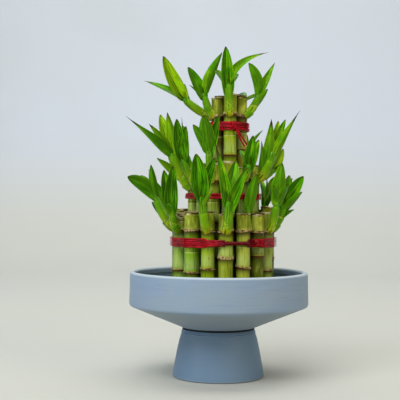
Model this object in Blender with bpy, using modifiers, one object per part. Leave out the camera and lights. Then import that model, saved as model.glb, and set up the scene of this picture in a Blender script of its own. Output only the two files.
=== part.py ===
"""A three-tier lucky bamboo standing in water in a footed ceramic bowl. Metres, +Z up.

The origin is on the table under the middle of the bowl, and -Y is the front. Thirty-three cut
canes stand on the bowl's floor in three rings, each ring taller than the one outside it and each
held by a wire tie. A cane, the side shoots that grew out of it and their leaves are one living
piece, so they are one object.
"""

import math
import random

import bmesh
import bpy
from mathutils import Matrix, Vector
from mathutils.bvhtree import BVHTree

MM = 0.001
GAP = 0.3 * MM  # between pieces that touch

# ---------------------------------------------------------------- driving sizes
BOWL_RADIUS = 80.3 * MM
RIM_RADIUS = 79.7 * MM  # the wall leans in a little on its way up
BOWL_HEIGHT = 94.0 * MM
BOWL_WALL = 4.8 * MM
RIDGE_HEIGHT = 63.0 * MM  # where the upright wall turns in to the underside
NECK_RADIUS = 32.2 * MM
NECK_HEIGHT = 43.8 * MM
FOOT_RADIUS = 41.0 * MM
FOOT_RING_WIDTH = 5.0 * MM
FOOT_SWELL = (36.6 * MM, 26.0 * MM)  # radius and height where the foot swells past a straight cone
FLOOR_HEIGHT = 55.5 * MM
FLOOR_RADIUS = 50.5 * MM
INSIDE_BEND = 6.0 * MM  # the bend between the bowl's floor and its wall, inside
INSIDE_BEND_HEIGHT = RIDGE_HEIGHT + 11.0 * MM
RIDGE_BEND = 3.0 * MM
EDGE = 1.6 * MM  # the rounding of the foot's edge and of the neck
HOLLOW_HEIGHT = 48.5 * MM  # the open hollow under the foot
HOLLOW_RADIUS = NECK_RADIUS - 6.0 * MM
HOLLOW_BEND = 5.0 * MM
WATER_LEVEL = 88.0 * MM

TURN_STEPS = 32
LIP_STEPS = 4
CANE_SIDES = 8
HOLE_SPAN = (30.0 * MM, 110.0 * MM)  # the holes' cutters reach past the water at both ends
JOINT_SWELL = 0.35 * MM  # how far a cane steps out at a joint
JOINT_STEP = 1.2 * MM
STEM_WIDTH = 6.2 * MM
STEM_SWELL = (1.3, 1.15, 0.98, 0.98, 0.8)  # along a shoot's stem, from its collar up
STEM_ROOT = 0.35  # where a stem starts, against its cane's radius
STEM_PULL = 0.35  # how far it runs straight out of the cane, against its whole way out
SHORTEST_PULL = 2.5 * MM
BLADE_THICKNESS = 1.2 * MM
BLADE_FOLD = 0.22  # how far the edges rise above the rib, against half the width
BLADE_SHAPE = ((0.0, 0.3), (0.33, 0.94), (0.62, 1.0), (0.86, 0.62))  # along the line, width
BLADE_PULL = 0.15  # how far a leaf runs on along its stem's line, against its length
ROOT_DEPTH = 4.5 * MM  # how deep a leaf's root sits in its stem
ROOT_ASIDE = 0.8 * MM  # and how far to its own side
CLEARANCE = 0.9 * MM  # kept round each leaf when it is bent clear of its neighbours
TURN_AWAY_STEPS = (3, 6, 9, 12, 16, 20)  # how far a leaf's tip is moved, in millimetres
TURN_AWAY = ((0, -1, 0), (0, 1, 0), (0.6, -0.6, 0), (-0.6, -0.6, 0), (0.6, 0.6, 0), (-0.6, 0.6, 0),
             (0, 0, 1), (0, 0, -1))

BAND_THICKNESS = 1.7 * MM
BAND_SECTION = ((0.0, -0.46), (0.0, 0.46), (1.0, 0.5), (1.0, 0.1), (0.55, 0.0), (1.0, -0.1), (1.0, -0.5))
WIRE_RADIUS = 0.9 * MM
KNOT_REACH = 1.2 * MM
KNOT_HEIGHT = 1.5  # a knot's height against its width

# Each ring of canes, in millimetres: how far right its middle is, its radius, the canes' radius,
# the heights of the shoots' joints, of the cut ends and of the wire tie under those joints, the
# height of the tie's band, and the steps in which the band turns round a cane.
RINGS = {
    "outer": dict(middle=3.6, radius=39.8, cane=6.15, shoot=132, cut=148, tie=121, band=9, bends=1),
    "middle": dict(middle=5.4, radius=25.0, cane=5.8, shoot=176, cut=189, tie=161.5, band=6, bends=2),
    "inner": dict(middle=8.0, radius=10.9, cane=5.8, shoot=234, cut=252, tie=223.5, band=9, bends=3),
}
# Where the canes stand round their ring, in degrees from the front towards the right.
STANDS = {
    "outer": (2, 24.5, 47, 69, 91, 113, 135, 157, 179, 201, 224, 246, 266, 287, 316, 339.5),
    "middle": [4.5 + 30 * i for i in range(12)],
    "inner": [5 + 72 * i for i in range(5)],
}
# The other joint rings of a cane, by ring, lowest first, and how far joints, shoots, cut ends and
# radii vary from cane to cane.
JOINT_HEIGHTS = {"outer": (101,), "middle": (104, 141), "inner": (110, 150, 198)}
JOINT_VARIES = 6.0
SHOOT_VARIES = 1.0
CUT_VARIES = 2.5
RADIUS_VARIES = 0.075

# Each tie's knot in degrees from the front, and its wire ends as points along, out and up from it.
KNOTS = {
    "outer": (35, (((3, 0.6, -1.5), (6, 0.5, -3.5)),)),
    "middle": (168, (((4, 1, -2), (8, 0, -6)), ((-4, 1, -1), (-7, 0.5, -5)))),
    "inner": (14, (((5, 1.6, -7), (12, 1.0, -17)), ((3, 2.2, -9), (9, 2.0, -18)))),
}
# Where a band narrows, because its wires are twisted together: degrees round the ring, and share.
TWISTS = {"outer": ((-30, 1.0), (0, 0.45), (30, 0.45), (44, 1.0))}

# Shoots on the front and the sides, in millimetres: the cane, the stem's width against
# STEM_WIDTH, the crown where the stem ends, and the leaves. A leaf is its tip, its width, how far
# the blade is turned to face the front (at 0 it faces its own stem), where on the stem it grows
# (1 is the crown), and its own pull where that isn't BLADE_PULL.
FRONT_SHOOTS = (
    ("inner_01", 1.05, (7, -24, 260), (
        (4, -30, 292, 11.5, 1.0, 0.8), (42, -30, 287, 8, 0.7, 1, 0.45), (-5, -16, 273, 7.5, 0.7, 1),
        (16, -12, 270, 6.5, 0.7, 1))),
    ("inner_02", 1.05, (34.5, -6, 252), (
        (25, -12, 280, 9.5, 0.9, 1, 0.4), (49, -4, 282, 7.5, 0.4, 1), (42, -12, 257, 6.5, 0.5, 0.6))),
    ("inner_03", 0.95, (20, 26, 248), (
        (43, 36, 258, 8.5, 0.0, 1), (24, 54, 261, 8.5, 0.0, 1), (7, 48, 256, 8.5, 0.0, 1))),
    ("inner_04", 1.12, (-32.5, -2, 249), (
        (-51, -10, 286, 12.5, 0.9, 1), (-69, 4, 265.5, 8, 0.2, 1, 0.25), (-32, 4, 263, 5.5, 0.5, 0.9))),
    ("inner_05", 1.0, (-15, -10, 253), (
        (-29, -12, 276, 10.5, 0.8, 0.9), (1.5, -16, 289, 9.5, 0.8, 1), (-28, -16, 260, 5, 0.2, 0.8))),
    ("middle_10", 1.15, (-43, -4, 200), (
        (-82, -40, 230, 10, 0.6, 1, 0.02), (-63, -18, 225, 8, 0.7, 1), (-54, 4, 235, 11, 0.9, 1),
        (-47, -10, 236, 13.5, 0.9, 0.6), (-56, -14, 195, 8, 0.7, 0.42))),
    ("middle_11", 1.0, (-33, -28, 193), (
        (-30, -34, 222, 9.5, 0.9, 1), (-38, -36, 228, 11, 0.9, 1), (-34, -16, 222, 9, 0.7, 0.8))),
    ("middle_12", 1.0, (-10, -32, 201), (
        (-24, -38, 223, 9.5, 0.8, 1), (-15, -42, 231, 13.5, 1.0, 1), (-1, -34, 233, 9, 0.9, 0.9))),
    ("middle_02", 1.0, (25, -34, 189), (
        (28, -38, 214, 11, 1.0, 0.7), (33.5, -28, 211, 9.5, 0.6, 0.7), (17, -26, 202, 7, 0.5, 1))),
    ("middle_04", 1.15, (48, -2, 202), (
        (46, -8, 231, 11, 0.9, 0.5), (53, 6, 230, 8, 0.4, 1), (59, -2, 231, 8, 0.4, 1),
        (71, -12, 238.5, 9, 0.8, 0.9, 0.05), (37, -8, 212, 7, 0.8, 0.3))),
    ("middle_05", 0.95, (50, 16, 186), (
        (59, 22, 206, 9, 0.5, 1), (47, 24, 212, 9, 0.5, 1), (57, 30, 196, 8, 0.2, 1))),
    ("outer_13", 1.15, (-57, -4, 160), (
        (-81, -24, 178, 12.5, 0.9, 1, 0.3), (-71, 4, 180, 10, 0.7, 1), (-64, -2, 186, 8, 0.6, 0.6),
        (-61, -16, 189, 8, 0.6, 1), (-61, 6, 156, 6, 0.4, 0.6))),
    ("outer_14", 1.1, (-44, -26, 155), (
        (-49, -30, 184, 11.5, 0.8, 0.8), (-41, -36, 187, 12, 0.9, 0.8),
        (-56, -42, 164, 7, 0.5, 0.6))),
    ("outer_16", 1.1, (-16, -54, 161), (
        (-21, -60, 197, 15, 1.0, 1), (-5, -56, 194, 10, 0.9, 1), (-31, -60, 177, 5.5, 0.2, 0.8),
        (-7, -66, 166, 5.5, 0.3, 0.8))),
    ("outer_01", 1.15, (7, -56, 157), (
        (-6, -52, 211, 9.5, 0.9, 0.9), (13, -46, 192, 12, 0.9, 1), (22, -62, 186, 10, 0.9, 0.8))),
    ("outer_03", 0.68, (24, -29.5, 153), (
        (32, -34, 181, 10, 0.9, 0.9), (22, -25, 172, 7, 0.4, 1))),
    ("outer_05", 1.15, (58, -4, 154), (
        (75, -6, 180, 12.5, 0.9, 1), (73, -16, 166, 7.5, 0.5, 0.8), (63, 2, 181, 12.5, 0.9, 0.8),
        (67, -4, 150, 6, 0.4, 0.6))),
    ("outer_04", 1.05, (50, -24, 156), (
        (53.5, -32, 191, 12, 0.95, 1, 0.05), (58, -40, 171, 8, 0.5, 1), (46, -38, 171, 7, 0.6, 1))),
)
# Canes at the back that grew a shoot. Those shoots follow one rule: how far the crown stands out,
# up and aside from its joint, how long the leaves are, and each leaf's lean from upright, its turn
# round the crown, both in radians, and its width.
BACK_CANES = ("outer_06", "outer_07", "outer_09", "outer_10", "outer_12",
              "middle_06", "middle_07", "middle_09")
BACK_CROWN_OUT = (14, 19)
BACK_CROWN_UP = (19, 26)
BACK_CROWN_ASIDE = (-3, 3)
BACK_LEAF_LENGTH = (27, 37)
BACK_LEAVES = ((0.62, -1.0, 8.5), (0.55, 0.15, 10.5), (0.62, 1.0, 8.5), (0.12, 0.3, 6.5))
BACK_STEM_WIDTH = (0.9, 1.1)
LEAF_REACH = 79.0 * MM  # no leaf at the back reaches further from the bowl's axis

# Cut heights, joints and radii of single canes, where they differ from their ring's.
CUT_HEIGHTS = {"outer_01": 146.5, "outer_02": 147, "outer_03": 146, "outer_05": 152.5,
               "outer_16": 148.5, "middle_01": 192, "inner_05": 250}
LOW_JOINTS = {"outer_01": 108, "outer_02": 100, "outer_03": 109.5, "outer_04": 97, "outer_05": 107,
              "outer_13": 96, "outer_14": 96.5, "outer_15": 95, "outer_16": 99}
SHOOT_JOINTS = {"middle_10": 170, "middle_11": 170, "inner_04": 232.5}
RADII = {"outer_15": 6.8, "outer_01": 6.4, "outer_16": 6.0, "outer_03": 5.9}
MOVED = {"middle_10": (-3.2, 0.0)}  # canes that stand out of their ring's circle


def mm(x, y, z):
    """A point given in millimetres."""
    return Vector((x, y, z)) * MM


# ---------------------------------------------------------------- scene and materials
for old in list(bpy.data.objects):
    bpy.data.objects.remove(old)

plant = bpy.data.collections.new("lucky_bamboo")
cutters = bpy.data.collections.new("cutters")
forms = bpy.data.collections.new("forms")  # shapes on their way to becoming plain meshes
for group in (plant, cutters, forms):
    bpy.context.scene.collection.children.link(group)


def linear(hex_colour):
    """A hex sRGB colour as linear red, green, blue and alpha."""
    parts = [int(hex_colour[i : i + 2], 16) / 255 for i in (1, 3, 5)]
    return [p / 12.92 if p <= 0.04045 else ((p + 0.055) / 1.055) ** 2.4 for p in parts] + [1.0]


def material(name, colour, roughness):
    """A plain finish. Nothing on this object shows bare metal."""
    made = bpy.data.materials.new(name)
    made.use_nodes = True
    shader = made.node_tree.nodes["Principled BSDF"]
    shader.inputs["Base Color"].default_value = linear(colour)
    shader.inputs["Roughness"].default_value = roughness
    shader.inputs["Metallic"].default_value = 0.0
    return made


STONEWARE = material("blue_grey_stoneware", "#8799a8", 0.45)
WATER = material("still_water", "#2a3a34", 0.05)
WIRE = material("red_coated_wire", "#a3122a", 0.3)
BAMBOO = material("bamboo_green", "#6f8f22", 0.4)


def evaluated_mesh(obj):
    """The object's mesh with its modifiers or its curve bevel made real."""
    bpy.context.view_layer.update()
    return bpy.data.meshes.new_from_object(obj.evaluated_get(bpy.context.evaluated_depsgraph_get()))


def link(name, data, finish=None, collection=plant):
    obj = bpy.data.objects.new(name, data)
    if finish:
        data.materials.clear()
        data.materials.append(finish)
    collection.objects.link(obj)
    return obj


def faced(name, points, faces):
    """A mesh from points and faces, with every face turned outwards."""
    mesh = bpy.data.meshes.new(name)
    mesh.from_pydata([tuple(p) for p in points], [], faces)
    shape = bmesh.new()
    shape.from_mesh(mesh)
    bmesh.ops.recalc_face_normals(shape, faces=shape.faces)
    shape.to_mesh(mesh)
    shape.free()
    return mesh


def turned(name, profile, steps, finish=None, collection=plant):
    """A profile of (radius, height) points turned round the Z axis."""
    mesh = bpy.data.meshes.new(name)
    points = [(radius, 0.0, height) for radius, height in profile]
    mesh.from_pydata(points, [(i, i + 1) for i in range(len(points) - 1)], [])
    obj = link(name, mesh, finish, collection)
    screw = obj.modifiers.new("turn", "SCREW")
    screw.steps = steps
    screw.render_steps = steps
    screw.use_merge_vertices = True
    screw.merge_threshold = 0.00005
    screw.use_smooth_shade = True
    return obj


def arc(middle, radius, start, end, steps):
    """Points on an arc of a profile, with its angles in degrees from straight out."""
    angles = [math.radians(start + (end - start) * i / steps) for i in range(steps + 1)]
    return [(middle[0] + radius * math.cos(a), middle[1] + radius * math.sin(a)) for a in angles]


# ---------------------------------------------------------------- the bowl and the water
def make_bowl():
    """One thrown piece: a wide shallow bowl, a narrow neck and a hollow flared foot."""
    lip = BOWL_WALL / 2
    bend_inside = RIM_RADIUS - BOWL_WALL - INSIDE_BEND
    foot_edge = FOOT_RADIUS - EDGE
    ring_inside = foot_edge - FOOT_RING_WIDTH
    profile = [(0.0, FLOOR_HEIGHT), (FLOOR_RADIUS, FLOOR_HEIGHT)]
    profile += arc((bend_inside, INSIDE_BEND_HEIGHT), INSIDE_BEND, -66, 0, 2)
    profile += arc((RIM_RADIUS - lip, BOWL_HEIGHT - lip), lip, 180, 0, LIP_STEPS)
    profile += arc((BOWL_RADIUS - RIDGE_BEND, RIDGE_HEIGHT + RIDGE_BEND), RIDGE_BEND, 0, -68, 2)
    profile += [(NECK_RADIUS + EDGE, NECK_HEIGHT + 0.4 * EDGE), (NECK_RADIUS, NECK_HEIGHT - EDGE / 2)]
    profile += [FOOT_SWELL] + arc((foot_edge, EDGE), EDGE, 10, -90, 2)
    profile += [(ring_inside, 0.0), (ring_inside - EDGE / 2, EDGE / 2)]
    profile += [(HOLLOW_RADIUS, HOLLOW_HEIGHT - HOLLOW_BEND), (HOLLOW_RADIUS - HOLLOW_BEND, HOLLOW_HEIGHT)]
    profile += [(0.0, HOLLOW_HEIGHT)]
    return turned("bowl", profile, TURN_STEPS, STONEWARE)


def make_water(canes):
    """The water fills the bowl to its level, with a plain hole round each cane."""
    bend_inside = RIM_RADIUS - BOWL_WALL - INSIDE_BEND
    profile = [(0.0, WATER_LEVEL), (bend_inside + INSIDE_BEND - GAP, WATER_LEVEL)]
    profile += arc((bend_inside, INSIDE_BEND_HEIGHT), INSIDE_BEND - GAP, 0, -66, 2)
    profile += [(FLOOR_RADIUS - GAP, FLOOR_HEIGHT + GAP), (0.0, FLOOR_HEIGHT + GAP)]
    water = turned("water", profile, TURN_STEPS, WATER)
    low, high = HOLE_SPAN
    for cane in canes.values():
        shape = bmesh.new()
        hole = (cane["radius"] + GAP) / math.cos(math.pi / CANE_SIDES)
        bmesh.ops.create_cone(
            shape, cap_ends=True, segments=CANE_SIDES, radius1=hole, radius2=hole, depth=high - low
        )
        mesh = bpy.data.meshes.new("hole_" + cane["name"])
        shape.to_mesh(mesh)
        shape.free()
        cutter = link(mesh.name, mesh, collection=cutters)
        cutter.location = (cane["x"], cane["y"], (low + high) / 2)
        cutter.hide_render = True
        cutter.display_type = "WIRE"
    cut = water.modifiers.new("holes", "BOOLEAN")
    cut.operand_type = "COLLECTION"
    cut.collection = cutters
    cut.operation = "DIFFERENCE"
    return water


# ---------------------------------------------------------------- the canes
def ring_of_canes(ring, plan, draw):
    """Where a ring's canes stand, counted from the front towards the right."""
    found = {}
    for i, stand in enumerate(STANDS[ring]):
        name = f"{ring}_{i + 1:02d}"
        angle = math.radians(stand)
        swing = draw.uniform(-1, 1)
        joints = [h + draw.uniform(-JOINT_VARIES, JOINT_VARIES) for h in JOINT_HEIGHTS[ring]]
        joints[0] = LOW_JOINTS.get(name, joints[0])
        cut = CUT_HEIGHTS.get(name, plan["cut"] + draw.uniform(-CUT_VARIES, CUT_VARIES))
        moved = MOVED.get(name, (0.0, 0.0))
        found[name] = dict(
            name=name,
            x=(plan["middle"] + plan["radius"] * math.sin(angle) + moved[0]) * MM,
            y=(moved[1] - plan["radius"] * math.cos(angle)) * MM,
            radius=RADII.get(name, plan["cane"] + RADIUS_VARIES * swing) * MM,
            joints=[h * MM for h in joints],
            shoot=SHOOT_JOINTS.get(name, plan["shoot"] + SHOOT_VARIES * swing) * MM,
            cut=cut * MM,
        )
    return found


def cane_mesh(cane):
    """A straight cane: plain under the water, and stepped out at each joint above it."""
    radius = cane["radius"]
    foot = FLOOR_HEIGHT + GAP
    profile = [(0.0, cane["cut"]), (radius, cane["cut"])]
    for joint in sorted(cane["joints"] + [cane["shoot"]], reverse=True):
        profile += [(radius, joint + JOINT_STEP), (radius + JOINT_SWELL, joint)]
    profile += [(radius, WATER_LEVEL + 1 * MM), (radius, foot), (0.0, foot)]
    turned_cane = turned("cane", profile, CANE_SIDES, collection=forms)
    mesh = evaluated_mesh(turned_cane)
    bpy.data.objects.remove(turned_cane)
    for vertex in mesh.vertices:
        vertex.co += Vector((cane["x"], cane["y"], 0.0))
    return mesh


# ---------------------------------------------------------------- shoots and leaves
def bend(start, pull, end, steps):
    """Points on the curve from start to end that leaves start towards pull."""
    line = []
    for i in range(steps + 1):
        t = i / steps
        line.append(start * (1 - t) ** 2 + pull * (2 * t * (1 - t)) + end * t**2)
    return line


def stem_guide(cane, crown):
    """Three points: the stem leaves the cane's side at its top joint and turns up to the crown."""
    axis = Vector((cane["x"], cane["y"], cane["shoot"]))
    out = Vector((crown.x - axis.x, crown.y - axis.y, 0.0)).normalized()
    start = axis + out * (cane["radius"] * STEM_ROOT)
    run = math.hypot(crown.x - axis.x, crown.y - axis.y) - cane["radius"]
    return start, axis + out * (cane["radius"] + max(SHORTEST_PULL, STEM_PULL * run)), crown


def on_stem(guide, t):
    """A place on the stem, from 0 at its root to 1 at its crown, and the stem's direction there."""
    start, pull, crown = guide
    place = start * (1 - t) ** 2 + pull * (2 * t * (1 - t)) + crown * t**2
    return place, ((pull - start) * (1 - t) + (crown - pull) * t).normalized()


def mesh_of_curve(curve):
    """A bevelled curve as a closed mesh, its caps joined to its side."""
    guide = link(curve.name, curve, collection=forms)
    mesh = evaluated_mesh(guide)
    bpy.data.objects.remove(guide)
    shape = bmesh.new()
    shape.from_mesh(mesh)
    bmesh.ops.remove_doubles(shape, verts=shape.verts, dist=0.00001)
    bmesh.ops.recalc_face_normals(shape, faces=shape.faces)
    shape.to_mesh(mesh)
    shape.free()
    return mesh


def stem_mesh(line, width):
    """A tapered stem with a swollen collar at its base."""
    curve = bpy.data.curves.new("stem", "CURVE")
    curve.dimensions = "3D"
    curve.bevel_depth = width / 2
    curve.bevel_resolution = 1
    curve.use_fill_caps = True
    spline = curve.splines.new("POLY")
    spline.points.add(len(line) - 1)
    for point, place, swell in zip(spline.points, line, STEM_SWELL):
        point.co = (*place, 1.0)
        point.radius = swell
    return mesh_of_curve(curve)


def leaf_points(base, axis, leaf, margin=0.0):
    """The corners of a folded lance-shaped blade, four to a section, and last its tip."""
    tip, width, facing = leaf["tip"], leaf["width"], leaf["facing"]
    out = tip - base
    out = (out - axis * out.dot(axis)).normalized()
    root = base - axis * ROOT_DEPTH + out * ROOT_ASIDE
    pull = base + axis * (leaf["pull"] * (tip - base).length)
    side = axis.cross(out).normalized()
    facing_side = (tip - base).cross(Vector((0, 1, 0))).normalized()
    if facing_side.dot(side) < 0:
        facing_side.negate()
    side = side * (1 - facing) + facing_side * facing
    corners = []
    for t, share in BLADE_SHAPE:
        place = root * (1 - t) ** 2 + pull * (2 * t * (1 - t)) + tip * t**2
        run = ((pull - root) * (1 - t) + (tip - pull) * t).normalized()
        across = (side - run * side.dot(run)).normalized()
        up = run.cross(across)
        half = width * share / 2 + margin
        thick = BLADE_THICKNESS / 2 + margin
        rise = up * (half * BLADE_FOLD)
        corners += [place - across * half + rise, place + up * thick,
                    place + across * half + rise, place - up * thick]
    return corners + [tip]


def leaf_faces():
    """The faces between a blade's sections, with its root closed and its tip a point."""
    faces = [(3, 2, 1, 0)]
    sections = len(BLADE_SHAPE)
    for s in range(sections - 1):
        for c in range(4):
            a, b = 4 * s + c, 4 * s + (c + 1) % 4
            faces += [(a, b, b + 4), (a, b + 4, a + 4)]
    last = 4 * (sections - 1)
    faces += [(last + c, last + (c + 1) % 4, last + 4) for c in range(4)]
    return faces


def grown_at_the_back(cane, middle, draw):
    """A shoot's crown and leaves by one rule: out from the ring, up, and fanned."""
    axis = Vector((cane["x"], cane["y"], cane["shoot"]))
    out = Vector((axis.x - middle, axis.y, 0.0)).normalized()
    aside = Vector((-out.y, out.x, 0.0))
    up = Vector((0, 0, 1))
    crown = axis + out * draw.uniform(*BACK_CROWN_OUT) * MM + up * draw.uniform(*BACK_CROWN_UP) * MM
    crown += aside * draw.uniform(*BACK_CROWN_ASIDE) * MM
    leaves = []
    for lean, turn, width in BACK_LEAVES:
        length = draw.uniform(*BACK_LEAF_LENGTH) * MM
        way = out * math.cos(turn) + aside * math.sin(turn)
        tip = crown + (way * math.sin(lean) + up * math.cos(lean)) * length
        spread = Vector((tip.x, tip.y, 0.0))
        if spread.length > LEAF_REACH:
            tip -= spread * (1 - LEAF_REACH / spread.length)
        leaves.append(leaf_of(tip, width, 0.0))
    return crown, leaves


def leaf_of(tip, width, facing, at=1.0, pull=BLADE_PULL):
    """One leaf's tip, width, facing, place on its stem and pull towards the stem's direction."""
    return dict(tip=tip, width=width * MM, facing=facing, at=at, pull=pull)


def turned_leaf_tips(base, tip):
    """The tip as wanted, then tips bent to and fro and up and down, nearest first."""
    yield tip
    for step in TURN_AWAY_STEPS:
        for way in TURN_AWAY:
            moved = tip + mm(*way) * step
            yield base + (moved - base).normalized() * (tip - base).length


def tree_of(mesh):
    return BVHTree.FromPolygons([v.co for v in mesh.vertices], [tuple(p.vertices) for p in mesh.polygons])


def clear_leaf(base, axis, leaf, others):
    """The leaf's corners, bent clear of every other piece, or None where it can't be."""
    for tip in turned_leaf_tips(base, leaf["tip"]):
        turned_leaf = dict(leaf, tip=tip)
        room = BVHTree.FromPolygons(leaf_points(base, axis, turned_leaf, CLEARANCE), leaf_faces())
        if not any(room.overlap(tree) for tree in others):
            return leaf_points(base, axis, turned_leaf)
    return None


def keep_largest_shell(mesh):
    """Leaves only the outer surface: a hollow sealed between leaf roots is filled."""
    shape = bmesh.new()
    shape.from_mesh(mesh)
    left, shells = set(shape.verts), []
    while left:
        shell, edge = set(), {left.pop()}
        while edge:
            shell |= edge
            edge = {e.other_vert(v) for v in edge for e in v.link_edges} - shell
        left -= shell
        shells.append(shell)
    largest = max(shells, key=len)
    bmesh.ops.delete(shape, geom=[v for v in shape.verts if v not in largest], context="VERTS")
    shape.to_mesh(mesh)
    shape.free()


def join(name, base, parts):
    """One closed solid from the base mesh and the parts sunk into it."""
    whole = link(name, base)
    if parts:
        group = bpy.data.collections.new("parts_of_" + name)
        bpy.context.scene.collection.children.link(group)
        for mesh in parts:
            link(mesh.name, mesh, collection=group)
        union = whole.modifiers.new("grown together", "BOOLEAN")
        union.operand_type = "COLLECTION"
        union.collection = group
        union.operation = "UNION"
        joined = evaluated_mesh(whole)
        keep_largest_shell(joined)
        whole.modifiers.clear()
        whole.data = joined
        for obj in list(group.objects):
            bpy.data.objects.remove(obj)
        bpy.data.collections.remove(group)
    whole.data.materials.clear()
    return whole


def make_stalks(canes, fixed):
    """Every cane with its shoot and leaves, each an object of its own."""
    draw = random.Random(7)
    shoots = {}
    for name, thickness, crown, tips in FRONT_SHOOTS:
        leaves = [leaf_of(mm(x, y, z), *rest) for x, y, z, *rest in tips]
        shoots[name] = (thickness, mm(*crown), leaves)
    for name in BACK_CANES:
        middle = RINGS[name.split("_")[0]]["middle"] * MM
        crown, leaves = grown_at_the_back(canes[name], middle, draw)
        shoots[name] = (draw.uniform(*BACK_STEM_WIDTH), crown, leaves)

    solid = {name: [cane_mesh(cane)] for name, cane in canes.items()}
    guides = {}
    for name, (thickness, crown, _) in shoots.items():
        guides[name] = stem_guide(canes[name], crown)
        solid[name].append(stem_mesh(bend(*guides[name], len(STEM_SWELL) - 1), STEM_WIDTH * thickness))
    trees = {name: [tree_of(mesh) for mesh in meshes] for name, meshes in solid.items()}
    for name, (_, _, leaves) in shoots.items():
        others = fixed + [t for other, found in trees.items() if other != name for t in found]
        for number, leaf in enumerate(leaves):
            corners = clear_leaf(*on_stem(guides[name], leaf["at"]), leaf, others)
            if corners is None:
                print(f"{name}: leaf {number} has no room")
                continue
            mesh = faced("leaf", corners, leaf_faces())
            solid[name].append(mesh)
            trees[name].append(tree_of(mesh))
    for name, (base, *parts) in solid.items():
        stalk = join("stalk_" + name, base, parts)
        stalk.data.materials.append(BAMBOO)


# ---------------------------------------------------------------- the ties
def hull_line(ring_canes, offset, bends):
    """The closed line a wire takes round a ring: on the outside of each cane, straight between."""
    line = []
    count = len(ring_canes)
    for i, cane in enumerate(ring_canes):
        before, after = ring_canes[i - 1], ring_canes[(i + 1) % count]
        start, end = (
            math.atan2(a["x"] - b["x"], b["y"] - a["y"]) for a, b in ((before, cane), (cane, after))
        )
        end += 2 * math.pi * (end < start)
        for step in range(bends + 1):
            angle = start + (end - start) * step / bends
            reach = cane["radius"] + offset
            line.append((cane["x"] + math.cos(angle) * reach, cane["y"] + math.sin(angle) * reach, angle))
    return line


def width_left(turn, twist):
    """How much of a band's height is left at a turn, read between the points of its twist."""
    for (a, first), (b, second) in zip(twist, twist[1:]):
        if a <= turn <= b:
            return first + (second - first) * (turn - a) / (b - a)
    return 1.0


def band_mesh(ring_canes, plan, twist):
    """A band of wires laid side by side: flat on the canes, ridged outside."""
    line = hull_line(ring_canes, JOINT_SWELL + GAP, plan["bends"])
    points = []
    for x, y, angle in line:
        turn = (math.degrees(angle) + 90 + 180) % 360 - 180
        tall = plan["band"] * MM * width_left(turn, twist)
        for out, up in BAND_SECTION:
            reach = out * BAND_THICKNESS
            place = (x + math.cos(angle) * reach, y + math.sin(angle) * reach, plan["tie"] * MM + up * tall)
            points.append(place)
    sides, faces = len(BAND_SECTION), []
    for i in range(len(line)):
        for j in range(sides):
            a, b = i * sides + j, i * sides + (j + 1) % sides
            c, d = ((k + sides) % len(points) for k in (b, a))
            faces += [(a, b, c), (a, c, d)]
    return faced("band", points, faces)


def knot_mesh(place, along):
    """A turn of wire drawn tight round the band, and taller than it is wide."""
    bpy.ops.mesh.primitive_torus_add(
        major_radius=KNOT_REACH, minor_radius=WIRE_RADIUS, major_segments=6, minor_segments=6
    )
    ring = bpy.context.object
    mesh = ring.data
    bpy.data.objects.remove(ring)
    turn = along.to_track_quat("Z", "Y").to_matrix().to_4x4()
    mesh.transform(Matrix.Translation(place) @ turn @ Matrix.Diagonal((1.0, KNOT_HEIGHT, 1.0, 1.0)))
    return mesh


def wire_mesh(points):
    """A length of round wire through a few points."""
    curve = bpy.data.curves.new("wire", "CURVE")
    curve.dimensions = "3D"
    curve.bevel_depth = WIRE_RADIUS
    curve.bevel_resolution = 1
    curve.use_fill_caps = True
    spline = curve.splines.new("POLY")
    spline.points.add(len(points) - 1)
    for point, place in zip(spline.points, points):
        point.co = (*place, 1.0)
    return mesh_of_curve(curve)


def make_tie(ring, canes):
    """A ring's wire tie, with its knot and the cut ends of the wire."""
    plan = RINGS[ring]
    ring_canes = [cane for name, cane in canes.items() if name.startswith(ring)]
    knot_turn, ends = KNOTS[ring]
    turn = math.radians(knot_turn)
    out = Vector((math.sin(turn), -math.cos(turn), 0.0))
    reach = (plan["radius"] + plan["cane"]) * MM + JOINT_SWELL + 1.4 * GAP + KNOT_REACH + WIRE_RADIUS
    place = Vector((plan["middle"] * MM, 0.0, plan["tie"] * MM)) + out * reach
    along = Vector((0, 0, 1)).cross(out)
    parts = [knot_mesh(place, along)]
    for end in ends:
        route = [place + along * (a * MM) + out * (o * MM) + mm(0, 0, z) for a, o, z in end]
        parts.append(wire_mesh([place + out * KNOT_REACH] + route))
    tie = join("tie_" + ring, band_mesh(ring_canes, plan, TWISTS.get(ring, ())), parts)
    tie.data.materials.append(WIRE)
    return tie


def main():
    draw = random.Random(3)
    canes = {}
    for ring, plan in RINGS.items():
        canes.update(ring_of_canes(ring, plan, draw))
    fixed = [tree_of(evaluated_mesh(make_bowl()))]
    fixed += [tree_of(make_tie(ring, canes).data) for ring in RINGS]
    make_stalks(canes, fixed)
    make_water(canes)


main()
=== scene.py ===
# %% [markdown]
# # A three-tier lucky bamboo in a footed bowl
#
# Lucky bamboo isn't a bamboo: it is a dracaena whose canes are cut, tied upright and left to
# sprout in water. This lesson dresses its solid model, piece by piece. The model gives the place
# and size of every piece, so nothing here is measured again: a cane is read back from its own
# solid, and what grows on it follows from that.

# %% Load the solid model
import math
import random

import bmesh
import bpy
from mathutils import Matrix, Vector, noise


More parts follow.
